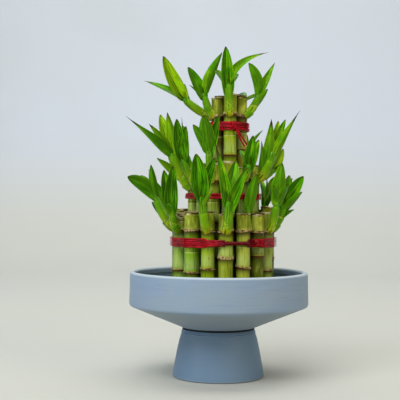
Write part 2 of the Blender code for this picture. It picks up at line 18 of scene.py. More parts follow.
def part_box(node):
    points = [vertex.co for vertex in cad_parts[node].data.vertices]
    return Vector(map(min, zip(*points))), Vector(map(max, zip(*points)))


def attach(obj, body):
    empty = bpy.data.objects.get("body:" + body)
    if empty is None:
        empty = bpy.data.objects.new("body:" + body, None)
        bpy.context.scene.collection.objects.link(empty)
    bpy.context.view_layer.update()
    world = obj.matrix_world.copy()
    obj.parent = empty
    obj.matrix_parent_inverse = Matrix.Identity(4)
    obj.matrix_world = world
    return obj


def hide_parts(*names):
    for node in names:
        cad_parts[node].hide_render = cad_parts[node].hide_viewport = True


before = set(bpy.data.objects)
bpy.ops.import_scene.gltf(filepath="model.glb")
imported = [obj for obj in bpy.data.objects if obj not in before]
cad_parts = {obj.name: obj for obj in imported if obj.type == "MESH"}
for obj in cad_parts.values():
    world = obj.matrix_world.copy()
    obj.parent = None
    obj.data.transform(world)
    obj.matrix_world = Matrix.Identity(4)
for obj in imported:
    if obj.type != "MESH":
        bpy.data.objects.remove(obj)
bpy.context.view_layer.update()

MM = 0.001
UP = Vector((0, 0, 1))

# %% [markdown]
# The camera comes first, because it decides how fine every later detail has to be. It stands
# level with the middle of the plant and a little to its left, 0.9 m away, on a long lens: a
# plant portrait, in which the rim of the bowl is only just seen from above.

# %% Camera
CAMERA_PLACE = Vector((-0.0174, -0.9, 0.158))
CAMERA_ROLL = math.radians(0.4)
CAMERA_LENS = 90
CAMERA_SENSOR = 36
PICTURE_WIDTH = 400


def in_scene(name, data):
    """A new object with that data, in the scene."""
    obj = bpy.data.objects.new(name, data)
    bpy.context.scene.collection.objects.link(obj)
    return obj


camera = in_scene("camera", bpy.data.cameras.new("camera"))
camera.data.lens = CAMERA_LENS
camera.data.sensor_width = CAMERA_SENSOR
level = Matrix.Rotation(math.radians(90), 4, "X") @ Matrix.Rotation(CAMERA_ROLL, 4, "Z")
camera.matrix_world = Matrix.Translation(CAMERA_PLACE) @ level
bpy.context.scene.camera = camera
step = -CAMERA_PLACE.y * CAMERA_SENSOR / CAMERA_LENS / PICTURE_WIDTH
print("one step of a picture", PICTURE_WIDTH, "wide is", round(step / MM, 2), "mm at the plant")

# %% [markdown]
# ## Small tools
#
# Colours are written as the sRGB hex values of a paint chart, and shaders want linear light, so
# one function turns one into the other. Another adds a shader node: what it is given for a socket
# is either a value or another node's output, and an output is linked.

# %% Colours and nodes
def linear(hex_colour):
    parts = [int(hex_colour[i : i + 2], 16) / 255 for i in (1, 3, 5)]
    return [p / 12.92 if p <= 0.04045 else ((p + 0.055) / 1.055) ** 2.4 for p in parts] + [1.0]


def add(tree, kind, sockets=None, output=0, **settings):
    node = tree.nodes.new(kind)
    for name, value in settings.items():
        setattr(node, name, value)
    for name, value in (sockets or {}).items():
        if isinstance(value, bpy.types.NodeSocket):
            tree.links.new(value, node.inputs[name])
        else:
            node.inputs[name].default_value = value
    return node.outputs[output]


# %% [markdown]
# Every finish here is made in the same steps. A pattern is noise with patches of a real size,
# drawn out in one direction where the real ones are. A mask says where a coat lies: it is a
# pattern, or a value painted on the mesh, cut between two levels, and several cuts multiply. The
# coats are laid over one another, and the last of them goes to the shader with a relief.

# %% Patterns and masks
def pattern(tree, size, detail=3.0, squeeze=(1.0, 1.0, 1.0)):
    """Noise from 0 to 1 in patches of about that size, in metres, longer where squeeze is small."""
    place = add(tree, "ShaderNodeTexCoord", output="Object")
    place = add(tree, "ShaderNodeMapping", {"Vector": place, "Scale": squeeze})
    return add(tree, "ShaderNodeTexNoise", {"Vector": place, "Scale": 1.0 / size, "Detail": detail})


def along_axis(tree, axis):
    """Where a point is along an axis of the object, in metres."""
    place = add(tree, "ShaderNodeTexCoord", output="Object")
    return add(tree, "ShaderNodeSeparateXYZ", {0: place}, output=axis)


def mask(tree, *cuts):
    """The product of its cuts. A cut is a value, or (value, low, high, to) for 0 where the value
    is at low, `to` where it is at high, and smooth between. A value can be the name of a painted one."""
    product = None
    for cut in cuts:
        value, *levels = cut if isinstance(cut, tuple) else (cut,)
        if isinstance(value, str):
            value = add(tree, "ShaderNodeAttribute", output="Fac", attribute_name=value)
        if levels:
            low, high, to = (*levels, 1.0)[:3]
            sockets = {"Value": value, "From Min": low, "From Max": high, "To Max": to}
            value = add(tree, "ShaderNodeMapRange", sockets, interpolation_type="SMOOTHSTEP")
        if product is not None:
            value = add(tree, "ShaderNodeMath", {0: product, 1: value}, operation="MULTIPLY")
        product = value
    return product


# %% Coats, and a finish made of them
def coats(tree, base, *layers):
    """A base colour under layers. Each layer is a colour and the cuts of its mask."""
    under = linear(base) if isinstance(base, str) else base
    for colour, *cuts in layers:
        over = linear(colour) if isinstance(colour, str) else colour
        sockets = {0: mask(tree, *cuts), 6: under, 7: over}
        under = add(tree, "ShaderNodeMix", sockets, output=2, data_type="RGBA")
    return under


def finish_named(name, fixed):
    """A new material with fixed values on its shader, and its node tree."""
    made = bpy.data.materials.new(name)
    made.use_nodes = True
    for socket, value in fixed.items():
        made.node_tree.nodes["Principled BSDF"].inputs[socket].default_value = value
    return made, made.node_tree


def dress(finish, colour, relief=None, roughness=None):
    """Gives a finish its colour, a relief of (pattern, depth, strength) and a cut for its roughness."""
    tree = finish.node_tree
    ends = {"Base Color": colour}
    if relief:
        sockets = dict(zip(("Height", "Distance", "Strength"), relief))
        ends["Normal"] = add(tree, "ShaderNodeBump", sockets)
    if roughness:
        ends["Roughness"] = mask(tree, roughness)
    for socket, value in ends.items():
        tree.links.new(value, tree.nodes["Principled BSDF"].inputs[socket])
    print("finish:", finish.name, "with", len(tree.nodes), "nodes")


# %% [markdown]
# Nearly everything that grows is a tube: rings of points, one after another, with its ends
# closed. `Draft` gathers such tubes. A ring is a list of spots, each a place and the values that
# are painted there, and every tube names the finish of its steps. One mesh comes out at the end.

# %% Gather rings of spots into one mesh
CREASE = math.radians(50)


class Draft:
    def __init__(self):
        self.points = []
        self.paint = []
        self.faces = []
        self.finishes = []

    def ring(self, spots):
        first = len(self.points)
        self.points += [place for place, _ in spots]
        self.paint += [values for _, values in spots]
        return list(range(first, len(self.points)))

    def tube(self, rings, finish, start=None, end=None, closed=False):
        """Joins rings of spots. A start or end point closes that end with a fan."""
        rows = [self.ring(spots) for spots in rings]
        steps = list(zip(rows, rows[1:])) + ([(rows[-1], rows[0])] if closed else [])
        finishes = finish if isinstance(finish, list) else [finish] * (len(steps) + 1)
        for (low, high), use in zip(steps, finishes):
            for j in range(len(low)):
                k = (j + 1) % len(low)
                self.faces.append((low[j], low[k], high[k], high[j]))
                self.finishes.append(use)
        for row, middle, use in ((rows[0], start, finishes[0]), (rows[-1], end, finishes[-1])):
            if middle is not None:
                hub = self.ring([(middle, self.paint[row[0]])])[0]
                self.faces += [(row[j], row[(j + 1) % len(row)], hub) for j in range(len(row))]
                self.finishes += [use] * len(row)

    def mesh(self, name, materials, skin=None):
        """One smooth mesh with its faces outwards, sharp where it turns more than a crease."""
        made = bpy.data.meshes.new(name)
        made.from_pydata(self.points, [], self.faces)
        for finish in materials:
            made.materials.append(finish)
        made.polygons.foreach_set("material_index", self.finishes)
        for kind in sorted({key for values in self.paint for key in values}):
            layer = made.attributes.new(kind, "FLOAT", "POINT")
            layer.data.foreach_set("value", [float(values.get(kind, 0.0)) for values in self.paint])
        if skin:
            layer = made.attributes.new("skin", "FLOAT_COLOR", "POINT")
            layer.data.foreach_set("color", list(skin) * len(self.points))
        shape = bmesh.new()
        shape.from_mesh(made)
        bmesh.ops.recalc_face_normals(shape, faces=shape.faces)
        shape.to_mesh(made)
        shape.free()
        made.shade_smooth()
        made.set_sharp_from_angle(angle=CREASE)
        return made


def placed(name, data, slot, *nodes):
    """An object that stands for solids of the model, which it hides; its slot is not used."""
    obj = in_scene(name, data)
    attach(obj, "root")
    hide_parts(*nodes)
    return obj


# %% [markdown]
# A few lines of geometry come back in every piece: a soft step from 0 to 1, a value read off a
# short table, the angles all round, and the direction at an angle.

# %% Steps, tables and turns
def smooth(low, high, x):
    """0 at low, 1 at high, smooth between."""
    t = min(1.0, max(0.0, (x - low) / (high - low)))
    return t * t * (3 - 2 * t)


def read_off(table, x):
    """The value at x in a table of (x, value) steps, which goes on level past its ends."""
    for (a, first), (b, second) in zip(table, table[1:]):
        if a <= x <= b:
            return first + (second - first) * (x - a) / (b - a)
    return table[0][1] if x < table[0][0] else table[-1][1]


def all_round(count):
    return [2 * math.pi * j / count for j in range(count)]


def level_way(turn):
    """The level direction at an angle."""
    return Vector((math.cos(turn), math.sin(turn), 0.0))


def turned(side, up, turn):
    """The direction at an angle from side towards up."""
    return side * math.cos(turn) + up * math.sin(turn)


# %% [markdown]
# ## The bowl
#
# The real bowl is stoneware, thrown on a wheel and dipped in a matt blue-grey glaze. Throwing
# leaves rings, faint on the wall and cut deeper under the neck, where the foot was turned.
# A lathe is the honest tool for it: one profile, turned round the axis. The outline repeats the
# solid's own sizes, and adds what is too fine for a solid: the roll of the lip, the cut of the
# seam and the rings under it.

# %% The bowl's sizes
BOWL_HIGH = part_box("bowl")[1]
RIDGE_RADIUS = BOWL_HIGH.x
BOWL_HEIGHT = BOWL_HIGH.z
RIM_RADIUS = RIDGE_RADIUS - 0.6 * MM
BOWL_WALL = 4.8 * MM
RIDGE_HEIGHT = 63.0 * MM
RIDGE_BEND = 3 * MM
NECK_RADIUS = 32.2 * MM
NECK_HEIGHT = 43.8 * MM
FOOT_RADIUS = 41.0 * MM
FOOT_SWELL = (36.6 * MM, 26.0 * MM)
FOOT_EDGE = 1.6 * MM
FOOT_RING_WIDTH = 5.0 * MM
FLOOR_HEIGHT = 55.5 * MM
FLOOR_RADIUS = 50.5 * MM
INSIDE_BEND = 6.0 * MM
INSIDE_BEND_HEIGHT = RIDGE_HEIGHT + 11.0 * MM
HOLLOW_HEIGHT = 48.5 * MM
print("bowl across:", round(2 * RIDGE_RADIUS / MM, 1), "mm")


# %% Curves for an outline, and a lathe for it
LATHE_STEPS = 160
LATHE_CREASE = math.radians(40)


def arc(middle, radius, start, end, steps):
    angles = [math.radians(start + (end - start) * i / steps) for i in range(steps + 1)]
    return [(middle[0] + radius * math.cos(a), middle[1] + radius * math.sin(a)) for a in angles]


def bend(start, pull, end, t):
    """A point on the curve from start to end that leaves start towards pull."""
    return start * (1 - t) ** 2 + pull * (2 * t * (1 - t)) + end * t**2


def bowed(start, through, end, steps):
    """Points on the curve from start to end that passes through the point between them."""
    start, through, end = (Vector((*point, 0.0)) for point in (start, through, end))
    pull = through * 2 - (start + end) / 2
    return [tuple(bend(start, pull, end, i / steps))[:2] for i in range(1, steps)]


def lathe(name, outline):
    """A profile of (radius, height) points turned round the Z axis."""
    mesh = bpy.data.meshes.new(name)
    mesh.from_pydata([(r, 0, z) for r, z in outline], [(i, i + 1) for i in range(len(outline) - 1)], [])
    obj = in_scene(name, mesh)
    screw = obj.modifiers.new("turn", "SCREW")
    screw.steps = screw.render_steps = LATHE_STEPS
    screw.use_merge_vertices = True
    screw.merge_threshold = 0.02 * MM
    bpy.context.view_layer.update()
    made = bpy.data.meshes.new_from_object(obj.evaluated_get(bpy.context.evaluated_depsgraph_get()))
    bpy.data.objects.remove(obj)
    made.shade_smooth()
    made.set_sharp_from_angle(angle=LATHE_CREASE)
    return made


# %% The bowl's outline
SEAM_FORM = ((2.0, 1.1), (0.9, 0.55), (-1.1, 0.1), (-1.1, -0.5), (-0.1, -0.9))  # out and up, mm
RING_FORM = ((0.0, 0.0), (-0.35, 0.4), (-0.21, 0.7))  # out in mm, down in steps of the rings
RING_STEP = 1.5 * MM
RINGS_UNDER_NECK = 3
FIRST_RING = 1.0 * MM
FOOT_FLARE = 0.32
lip = BOWL_WALL / 2
ring_inside = FOOT_RADIUS - FOOT_EDGE - FOOT_RING_WIDTH

outline = [(0.0, FLOOR_HEIGHT), (FLOOR_RADIUS * 0.6, FLOOR_HEIGHT), (FLOOR_RADIUS, FLOOR_HEIGHT)]
outline += arc((RIM_RADIUS - BOWL_WALL - INSIDE_BEND, INSIDE_BEND_HEIGHT), INSIDE_BEND, -66, 0, 8)
outline += arc((RIM_RADIUS - lip, BOWL_HEIGHT - lip), lip, 180, 0, 16)
outline += arc((RIDGE_RADIUS - RIDGE_BEND, RIDGE_HEIGHT + RIDGE_BEND), RIDGE_BEND, 0, -68, 8)
outline += [(NECK_RADIUS + out * MM, NECK_HEIGHT + up * MM) for out, up in SEAM_FORM]
for ring in range(RINGS_UNDER_NECK):
    crest = NECK_HEIGHT - FIRST_RING - ring * RING_STEP
    wide = NECK_RADIUS + FOOT_FLARE * (NECK_HEIGHT - crest)
    outline += [(wide + out * MM, crest - down * RING_STEP) for out, down in RING_FORM]
outline += bowed(outline[-1], FOOT_SWELL, (FOOT_RADIUS, FOOT_EDGE + 0.3 * MM), 14)
outline += arc((FOOT_RADIUS - FOOT_EDGE, FOOT_EDGE), FOOT_EDGE, 10, -90, 8)
outline += [(ring_inside, 0.0), (ring_inside - 0.8 * MM, 0.8 * MM)]
outline += [(NECK_RADIUS - 6 * MM, HOLLOW_HEIGHT - 5 * MM)]
outline += [(NECK_RADIUS - 11 * MM, HOLLOW_HEIGHT), (0.0, HOLLOW_HEIGHT)]
print("points in the bowl's outline:", len(outline))


# %% [markdown]
# The glaze is one blue-grey, but never one flat tone. It clouds over a few centimetres, thins at
# the lip and the edge of the foot, where the pale body shows through, and is cooler on the foot
# than on the slope above it. The lip is lightened further by a painted highlight, the seam is
# painted near black as painted shade in its groove, and the foot is painted darker as painted
# shadow from the bowl over it. Lip, seam, slope and foot differ in height, so the bowl needs no
# values painted on its mesh: their masks are cut from the height, and the clouds from noise. The
# ash specks are about 0.2 mm, too fine to show, so they are drawn at 0.5 mm. Its gloss is low, so
# the studio light spreads over the wall as one broad soft band.

# %% The glaze
glaze, tree = finish_named("satin_blue_grey_glaze", {"Specular IOR Level": 0.4})
height = along_axis(tree, "Z")
clouds = pattern(tree, 30 * MM, squeeze=(1.0, 1.0, 1.6))
throwing = pattern(tree, 1.5 * MM, 2.0, squeeze=(0.06, 0.06, 1.0))
ash = pattern(tree, 0.5 * MM, 1.0)
over_neck = (height, NECK_HEIGHT, NECK_HEIGHT + 4 * MM)
under_ridge = (height, RIDGE_HEIGHT + 1 * MM, RIDGE_HEIGHT - 2 * MM)
over_seam = (height, NECK_HEIGHT + 1.2 * MM, NECK_HEIGHT + 0.5 * MM)
under_seam = (height, NECK_HEIGHT - 1.8 * MM, NECK_HEIGHT - 0.7 * MM)
body = coats(
    tree, "#859bb4",
    ("#8d9fae", (clouds, 0.2, 0.8)),
    ("#6f8498", (throwing, 0.5, 0.8, 0.3)),
    ("#c3ccd0", (ash, 0.66, 0.85, 0.2)),
    # the foot: bluer, and darker with painted shadow from the bowl over it
    ("#64809a", (height, NECK_HEIGHT + 0.5 * MM, NECK_HEIGHT - 1 * MM, 0.85)),  # the foot
    ("#8c9394", over_neck, under_ridge, 0.55),  # the slope over the neck
    # the seam: painted shade in its groove
    ("#18222a", under_seam, over_seam),
    # the lip: paler where the glaze thins, and lighter still with a painted highlight
    ("#bcc8cc", (height, BOWL_HEIGHT - 2.2 * MM, BOWL_HEIGHT - 0.6 * MM, 0.8)),  # the lip
    ("#a0b0bb", (height, 2.2 * MM, 0.8 * MM, 0.5)),  # the foot's edge
)
grain = add(tree, "ShaderNodeMath", {0: ash, 1: 0.3, 2: throwing}, operation="MULTIPLY_ADD")
dress(glaze, body, (grain, 0.12 * MM, 0.5), (clouds, -0.9, 1.0, 0.66))
bowl_mesh = lathe("glazed_bowl", outline)
bowl_mesh.materials.append(glaze)
placed("glazed_bowl", bowl_mesh, "bowl", "bowl")
print("faces in the bowl:", len(bowl_mesh.polygons))

# %% [markdown]
# ## Reading the canes back
#
# Every cane of the solid model is a straight eight-sided rod that steps out a little at its
# joints. Its foot gives its axis and radius, the steps give its joints, and its highest ring is
# where it was cut. The highest joint is the one that can grow a shoot.

# %% Read each cane from its solid
JOINT_SWELL = 0.35 * MM
SAME_PLACE = 0.05 * MM
SKIN_TOLERANCE = 0.04 * MM


def solid_points(name):
    return [vertex.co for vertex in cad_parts["stalk_" + name].data.vertices]


def read_cane(name):
    points = solid_points(name)
    foot = min(p.z for p in points)
    base = [p for p in points if p.z - foot < SAME_PLACE]
    x = (min(p.x for p in base) + max(p.x for p in base)) / 2
    y = (min(p.y for p in base) + max(p.y for p in base)) / 2
    radius = (max(p.x for p in base) - min(p.x for p in base)) / 2
    levels = {}
    for p in points:
        out = math.hypot(p.x - x, p.y - y) - radius
        if -SKIN_TOLERANCE < out < JOINT_SWELL + SKIN_TOLERANCE:
            turn = round(math.atan2(p.y - y, p.x - x), 2)
            levels.setdefault((round(p.z / MM, 1), out > JOINT_SWELL / 2), set()).add(turn)
    rings = [(z * MM, swollen) for (z, swollen), turns in levels.items() if len(turns) > 2]
    joints = sorted(z for z, swollen in rings if swollen)
    cut = max(z for z, swollen in rings if not swollen)
    return dict(name=name, tier=name.split("_")[0], x=x, y=y, axis=Vector((x, y, 0.0)), radius=radius,
                foot=foot, cut=cut, joints=joints, shoot=joints[-1])


names = [node[len("stalk_") :] for node in sorted(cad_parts) if node.startswith("stalk_")]
canes = {name: read_cane(name) for name in names}
tiers = {tier: [c for c in canes.values() if c["tier"] == tier] for tier in ("outer", "middle", "inner")}

# %% [markdown]
# ## The water
#
# Still water is flat except where it wets something. There it climbs by about a millimetre, in a
# curve that dies away over a few, and that curve is what catches the light round each cane. A
# plain disc would meet the canes in a hard line, so the surface is a fine net of rings, lifted by
# how near the closest wall or cane is. The water is a solid too, and its sides stay inside the
# bowl. Between so many canes it lies in shade and looks dark, so its colour is painted shade: a
# dark gloss does for it, and no light has to go through it.

# %% The water
WATER_LOW, WATER_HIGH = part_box("water")
CLIMB = 0.9 * MM
CLIMB_REACH = 1.5 * MM
WATER_RINGS = 90
WATER_TURNS = 300
water_radius = WATER_HIGH.x

water, tree = finish_named(
    "still_dark_water", {"Roughness": 0.03, "IOR": 1.33, "Coat Weight": 0.3, "Coat Roughness": 0.02}
)
# the dark colour is painted shade: the canes shade the water
dress(water, coats(tree, "#18211f", ("#2c3a36", pattern(tree, 14 * MM, 2.0))))


def water_level(spot):
    """The water's height, climbing where it touches the wall or a cane."""
    gaps = [max(0.0, (spot - cane["axis"]).length - cane["radius"]) for cane in canes.values()]
    nearest = min(water_radius - spot.length, *gaps)
    return WATER_HIGH.z + CLIMB * math.exp(-nearest / CLIMB_REACH)


draft = Draft()
ways = [level_way(turn) for turn in all_round(WATER_TURNS)]
rings = []
for i in range(1, WATER_RINGS + 1):
    spots = [way * (water_radius * i / WATER_RINGS) for way in ways]
    rings.append([(spot + UP * water_level(spot), {}) for spot in spots])
for reach, z in (
    (water_radius, INSIDE_BEND_HEIGHT),
    (FLOOR_RADIUS + 2 * MM, FLOOR_HEIGHT + 3 * MM),
    (FLOOR_RADIUS, WATER_LOW.z),
):
    rings.append([(way * reach + UP * z, {}) for way in ways])
draft.tube(rings, 0, UP * WATER_HIGH.z, UP * WATER_LOW.z)
placed("still_water", draft.mesh("still_water", [water]), "water", "water")
print("faces in the water:", len(draft.faces))

# %% [markdown]
# ## The canes
#
# A cane is green and waxy between its joints, with fibres along it. They are about 0.3 mm apart,
# too fine to show, so they are drawn three times as coarse. At each joint the scar of an old leaf
# stands out as a thin ridge, brown and dry, with a groove over it and a pale band above, and the
# skin under it stays dark. Over the joint that shoots, light has turned the skin yellowish. The
# cut end is sealed and dries from the top, so its edge is straw-coloured and ragged. Skin that
# almost touches the next cane gets no light, and is painted dark there as painted shade. No two
# canes are the same age, so each of those in front has its own green.
#
# Noise alone can't know where a joint is. So every point is painted with its distance from the
# joint and from the cut, and with how shaded it is, and the coats read those values.

# %% The skin of a cane
CANE_SKINS = {
    "outer_14": "#9ac04a", "outer_15": "#7fae18", "outer_16": "#95b20c", "outer_01": "#98aa28",
    "outer_02": "#b0ba3c", "outer_03": "#5c6a10", "outer_04": "#9cb24a", "outer_05": "#626e12",
    "inner_01": "#a6c01c", "inner_02": "#7a7420", "inner_05": "#5a4a16",
}
WAX_GLEAM = (0.9, 1.0, 0.3, 1.0)  # plant wax is yellowish, and tints what it reflects

cane_skin, tree = finish_named("cane_skin", {"Specular IOR Level": 0.45, "Specular Tint": WAX_GLEAM})
fibres = pattern(tree, 0.9 * MM, squeeze=(1.0, 1.0, 0.05))
patches = pattern(tree, 7 * MM, squeeze=(1.0, 1.0, 0.45))
blotches = pattern(tree, 2.2 * MM, 4.0, squeeze=(1.0, 1.0, 0.6))
wrinkles = pattern(tree, 1.3 * MM, 1.0, squeeze=(0.2, 0.2, 1.0))
# "joint" is how far a point is above the nearest joint, and "below_cut" how far under the cut, in mm
joint, below_cut = mask(tree, "joint"), mask(tree, "below_cut")
uneven = add(tree, "ShaderNodeMath", {0: blotches, 1: 5.0, 2: joint}, operation="MULTIPLY_ADD")
ragged = add(tree, "ShaderNodeMath", {0: blotches, 1: -4.0, 2: below_cut}, operation="MULTIPLY_ADD")
sunned = coats(tree, "#7d8208", ("#b0bc1a", (patches, 0.5, 0.66)))
dried = coats(tree, "#d8c898", ("#45260f", (wrinkles, 0.46, 0.54)))
own_green = add(tree, "ShaderNodeAttribute", output="Color", attribute_name="skin")
skin = coats(
    tree, own_green,
    ("#c4dc80", ("joint", 0.8, 3.5), ("joint", 17.0, 6.0), 0.45),  # wax, thickest over a joint
    (sunned, "upper", 0.8),
    ("#ccd062", (patches, 0.5, 0.75, 0.5)),
    ("#2f4404", (fibres, 0.5, 0.7, 0.65)),
    ("#33300a", ("joint", -7.0, -0.5), ("joint", 0.3, 0.0), 0.85),  # the dark skin under a joint
    # darker for a few millimetres under the joint that shoots
    ("#2a1a08", "stain"),
    ("#b9b04c", ("joint", 0.1, 0.5), ("joint", 2.6, 0.9), 0.5),  # the pale band over it
    ("#55240e", (uneven, 0.4, 1.6), ("joint", 0.55, 0.2), 0.9),  # the scar
    (dried, (ragged, 0.4, -0.9, 0.9)),
    ("#5a3a18", (blotches, 0.64, 0.72, 0.6)),
    # painted shade: dark where skin nearly touches another cane, and inside the outer rings
    ("#141804", "crevice", 0.9),
)
bumps = add(tree, "ShaderNodeMath", {0: fibres, 1: blotches}, operation="ADD")
dress(cane_skin, skin, (bumps, 0.1 * MM, 0.55), (fibres, 0.1, 0.95, 0.62))

# %% The cut end of a cane
cut_end, tree = finish_named("dried_cut_end", {"Roughness": 0.75})
pith = pattern(tree, 0.7 * MM)
wood = coats(
    tree, "#b49a62",
    ("#6e5228", (pith, 0.45, 0.7)),
    ("#dccfa2", ("across", 0.7, 0.86, 0.85)),
    ("#6d5a26", ("across", 0.92, 1.0, 0.8)),
)
dress(cut_end, wood, (pith, 0.25 * MM, 0.8))

# %% [markdown]
# A cane could be a plain cylinder with a ring set on it for each joint, but its skin is whole,
# and runs on over the joint. So it is one tube whose radius follows the height. Its rings of
# points are a few millimetres apart, and crowd round the joints, where the radius changes: a
# swelling from below, the scar's ridge, the groove, and a last faint swelling above. Canes of the
# middle and inner rings are painted darker, as painted shade, as far up as the ring outside them
# reaches.

# %% The form of a cane
SKIN, END, STEM, LEAF, DRY = range(5)  # the finishes of a stalk, in their order
CANE_SIDES = 28
LONGEST_STEP = 4 * MM
UNDER_WATER = 4 * MM
LAST_RING = 1.4 * MM
JOINT_FORM = (  # above the joint and out, in mm
    (-4.0, 0.0), (-2.6, 0.1), (-1.3, 0.2), (-0.6, 0.3), (-0.35, 0.47), (-0.05, 0.5), (0.15, 0.36),
    (0.4, 0.05), (0.8, 0.1), (1.8, 0.14), (3.5, 0.0),
)
WAIST = 0.1 * MM
END_FORM = ((1.05, 0.0), (0.75, 0.12), (0.15, 0.1), (0.15, -0.12))  # under the cut and out, in mm
CUT_FORM = ((0.9, 0.35), (0.8, 0.2), (0.55, 0.5), (0.25, 0.8))  # share of the radius, and down in mm
# how much darker the skin gets under the joint that shoots, by ring
UNDER_SHOOT_DARKNESS = {"outer": 0.85, "middle": 0.8, "inner": 0.9}
DRIED = {"outer_14": 5.0, "outer_15": 1.8, "middle_12": 2.0, "inner_05": 1.4, "inner_02": 1.6}
SLANTED = {
    "outer_14": 1.6, "outer_15": 0.5, "outer_03": 0.4, "inner_05": 0.7, "outer_05": 0.5, "inner_02": 0.4,
}
SLANT = (0.0, 0.35)
OVAL = (0.004, 0.014)
SKIN_WAVE, WAVE_LENGTH = 0.1 * MM, 12 * MM
JOINT_WAVE = 0.35
DARKENING_RISE, DARKENING_WAVE = (-9.0, -1.5), 4.0  # from the top joint down, in mm
UPPER_RISE = (0.5, 2.5)
# how far painted shade reaches out from a nearby cane
CREVICE_SHADE_REACH = 2.7 * MM
NEIGHBOUR = 20 * MM
OUTSIDE = {"middle": "outer", "inner": "middle"}
INSIDE_SHADE, SHADE_EDGE = 0.75, (4 * MM, -8 * MM)
print("rings of points at a joint:", len(JOINT_FORM))


def swell_at(cane, z):
    """How far the skin stands out at a height, and the distance from the nearest joint in mm."""
    nearest = min(cane["joints"], key=lambda joint: abs(z - joint))
    return read_off(JOINT_FORM, (z - nearest) / MM) * MM, (z - nearest) / MM


# %% Grow a cane
def grow_cane(draft, cane, draw):
    """The cane's skin, and its cut end a little hollow in the middle."""
    cut, axis, shoot_joint = cane["cut"], cane["axis"], cane["shoot"]
    heights = {cane["foot"], WATER_HIGH.z - UNDER_WATER, cut - LAST_RING}
    heights |= {joint + dz * MM for joint in cane["joints"] for dz, _ in JOINT_FORM}
    span = sorted(z for z in heights if z < cut - 1.0 * MM)
    for low, high in zip(list(span), list(span)[1:]):
        parts = max(1, int((high - low) / LONGEST_STEP))
        span += [low + (high - low) * i / parts for i in range(1, parts)]
    slant = SLANTED.get(cane["name"], draw.uniform(*SLANT)) * MM
    slant_turn = draw.uniform(0, 2 * math.pi)
    oval, oval_turn = draw.uniform(*OVAL), draw.uniform(0, math.pi)
    seed = Vector([draw.uniform(0, 50) for _ in range(3)])
    dried = DRIED.get(cane["name"], 1.0)
    hidden_below = min((c["cut"] for c in tiers.get(OUTSIDE.get(cane["tier"]), ())), default=0.0)
    near = [c for c in canes.values() if c is not cane and (c["axis"] - axis).length < NEIGHBOUR]

    def ring(z, grown, slope=0.0, upto=1.0):
        shade = INSIDE_SHADE * smooth(*SHADE_EDGE, z - hidden_below)
        over_shoot = (z - shoot_joint) / MM
        spots = []
        for turn in all_round(CANE_SIDES):
            way = level_way(turn)
            wave = noise.noise(seed + way * 1.5 + UP * (z / WAVE_LENGTH))
            radius = (cane["radius"] * (1 + oval * math.cos(2 * (turn - oval_turn))) + grown) * upto
            radius += SKIN_WAVE * wave * (upto == 1.0)
            lift = slope * slant * math.cos(turn - slant_turn)
            skin = axis + way * cane["radius"]
            gaps = [(skin - c["axis"]).length - c["radius"] for c in near if c["cut"] > z]
            # darker just under the joint that shoots
            darkened = smooth(DARKENING_RISE[0] - DARKENING_WAVE * wave, DARKENING_RISE[1], over_shoot) * (over_shoot < 0)
            spots.append((axis + way * radius + UP * (z + lift), {
                "joint": swell_at(cane, z)[1] + JOINT_WAVE * wave,
                "below_cut": (cut - z) / MM / dried,
                "stain": UNDER_SHOOT_DARKNESS[cane["tier"]] * darkened,
                # painted shade from near canes, or from the ring outside
                "crevice": max(shade, math.exp(-max(0.0, min(gaps, default=1.0)) / CREVICE_SHADE_REACH)),
                "upper": smooth(*UPPER_RISE, over_shoot),
                "across": upto,
            }))
        return spots

    rings = []
    for z in sorted(span):
        grown, from_joint = swell_at(cane, z)
        rings.append(ring(z, grown - WAIST * (abs(from_joint) > 6)))
    rings += [ring(cut - down * MM, out * MM, 1.0) for down, out in END_FORM]
    finishes = [SKIN] * (len(rings) - 1) + [END] * (len(CUT_FORM) + 1)
    rings += [ring(cut - down * MM, 0.0, share, share) for share, down in CUT_FORM]
    draft.tube(rings, finishes, axis + UP * cane["foot"], axis + UP * (cut - 0.8 * MM))


# %% [markdown]
# ## The shoots
#
# A shoot leaves its cane's side at the topmost joint and turns up to its crown, where the leaves
# part. The table repeats the plan that the solids were built from, in millimetres: for each shoot
# its cane, how thick its stem is and where its crown is, and for each of its leaves the tip, the
# width, how much it turns to the front, how far up the stem it grows, and for some how strongly
# it first follows the stem. The shoots at the back follow one rule instead of a table.

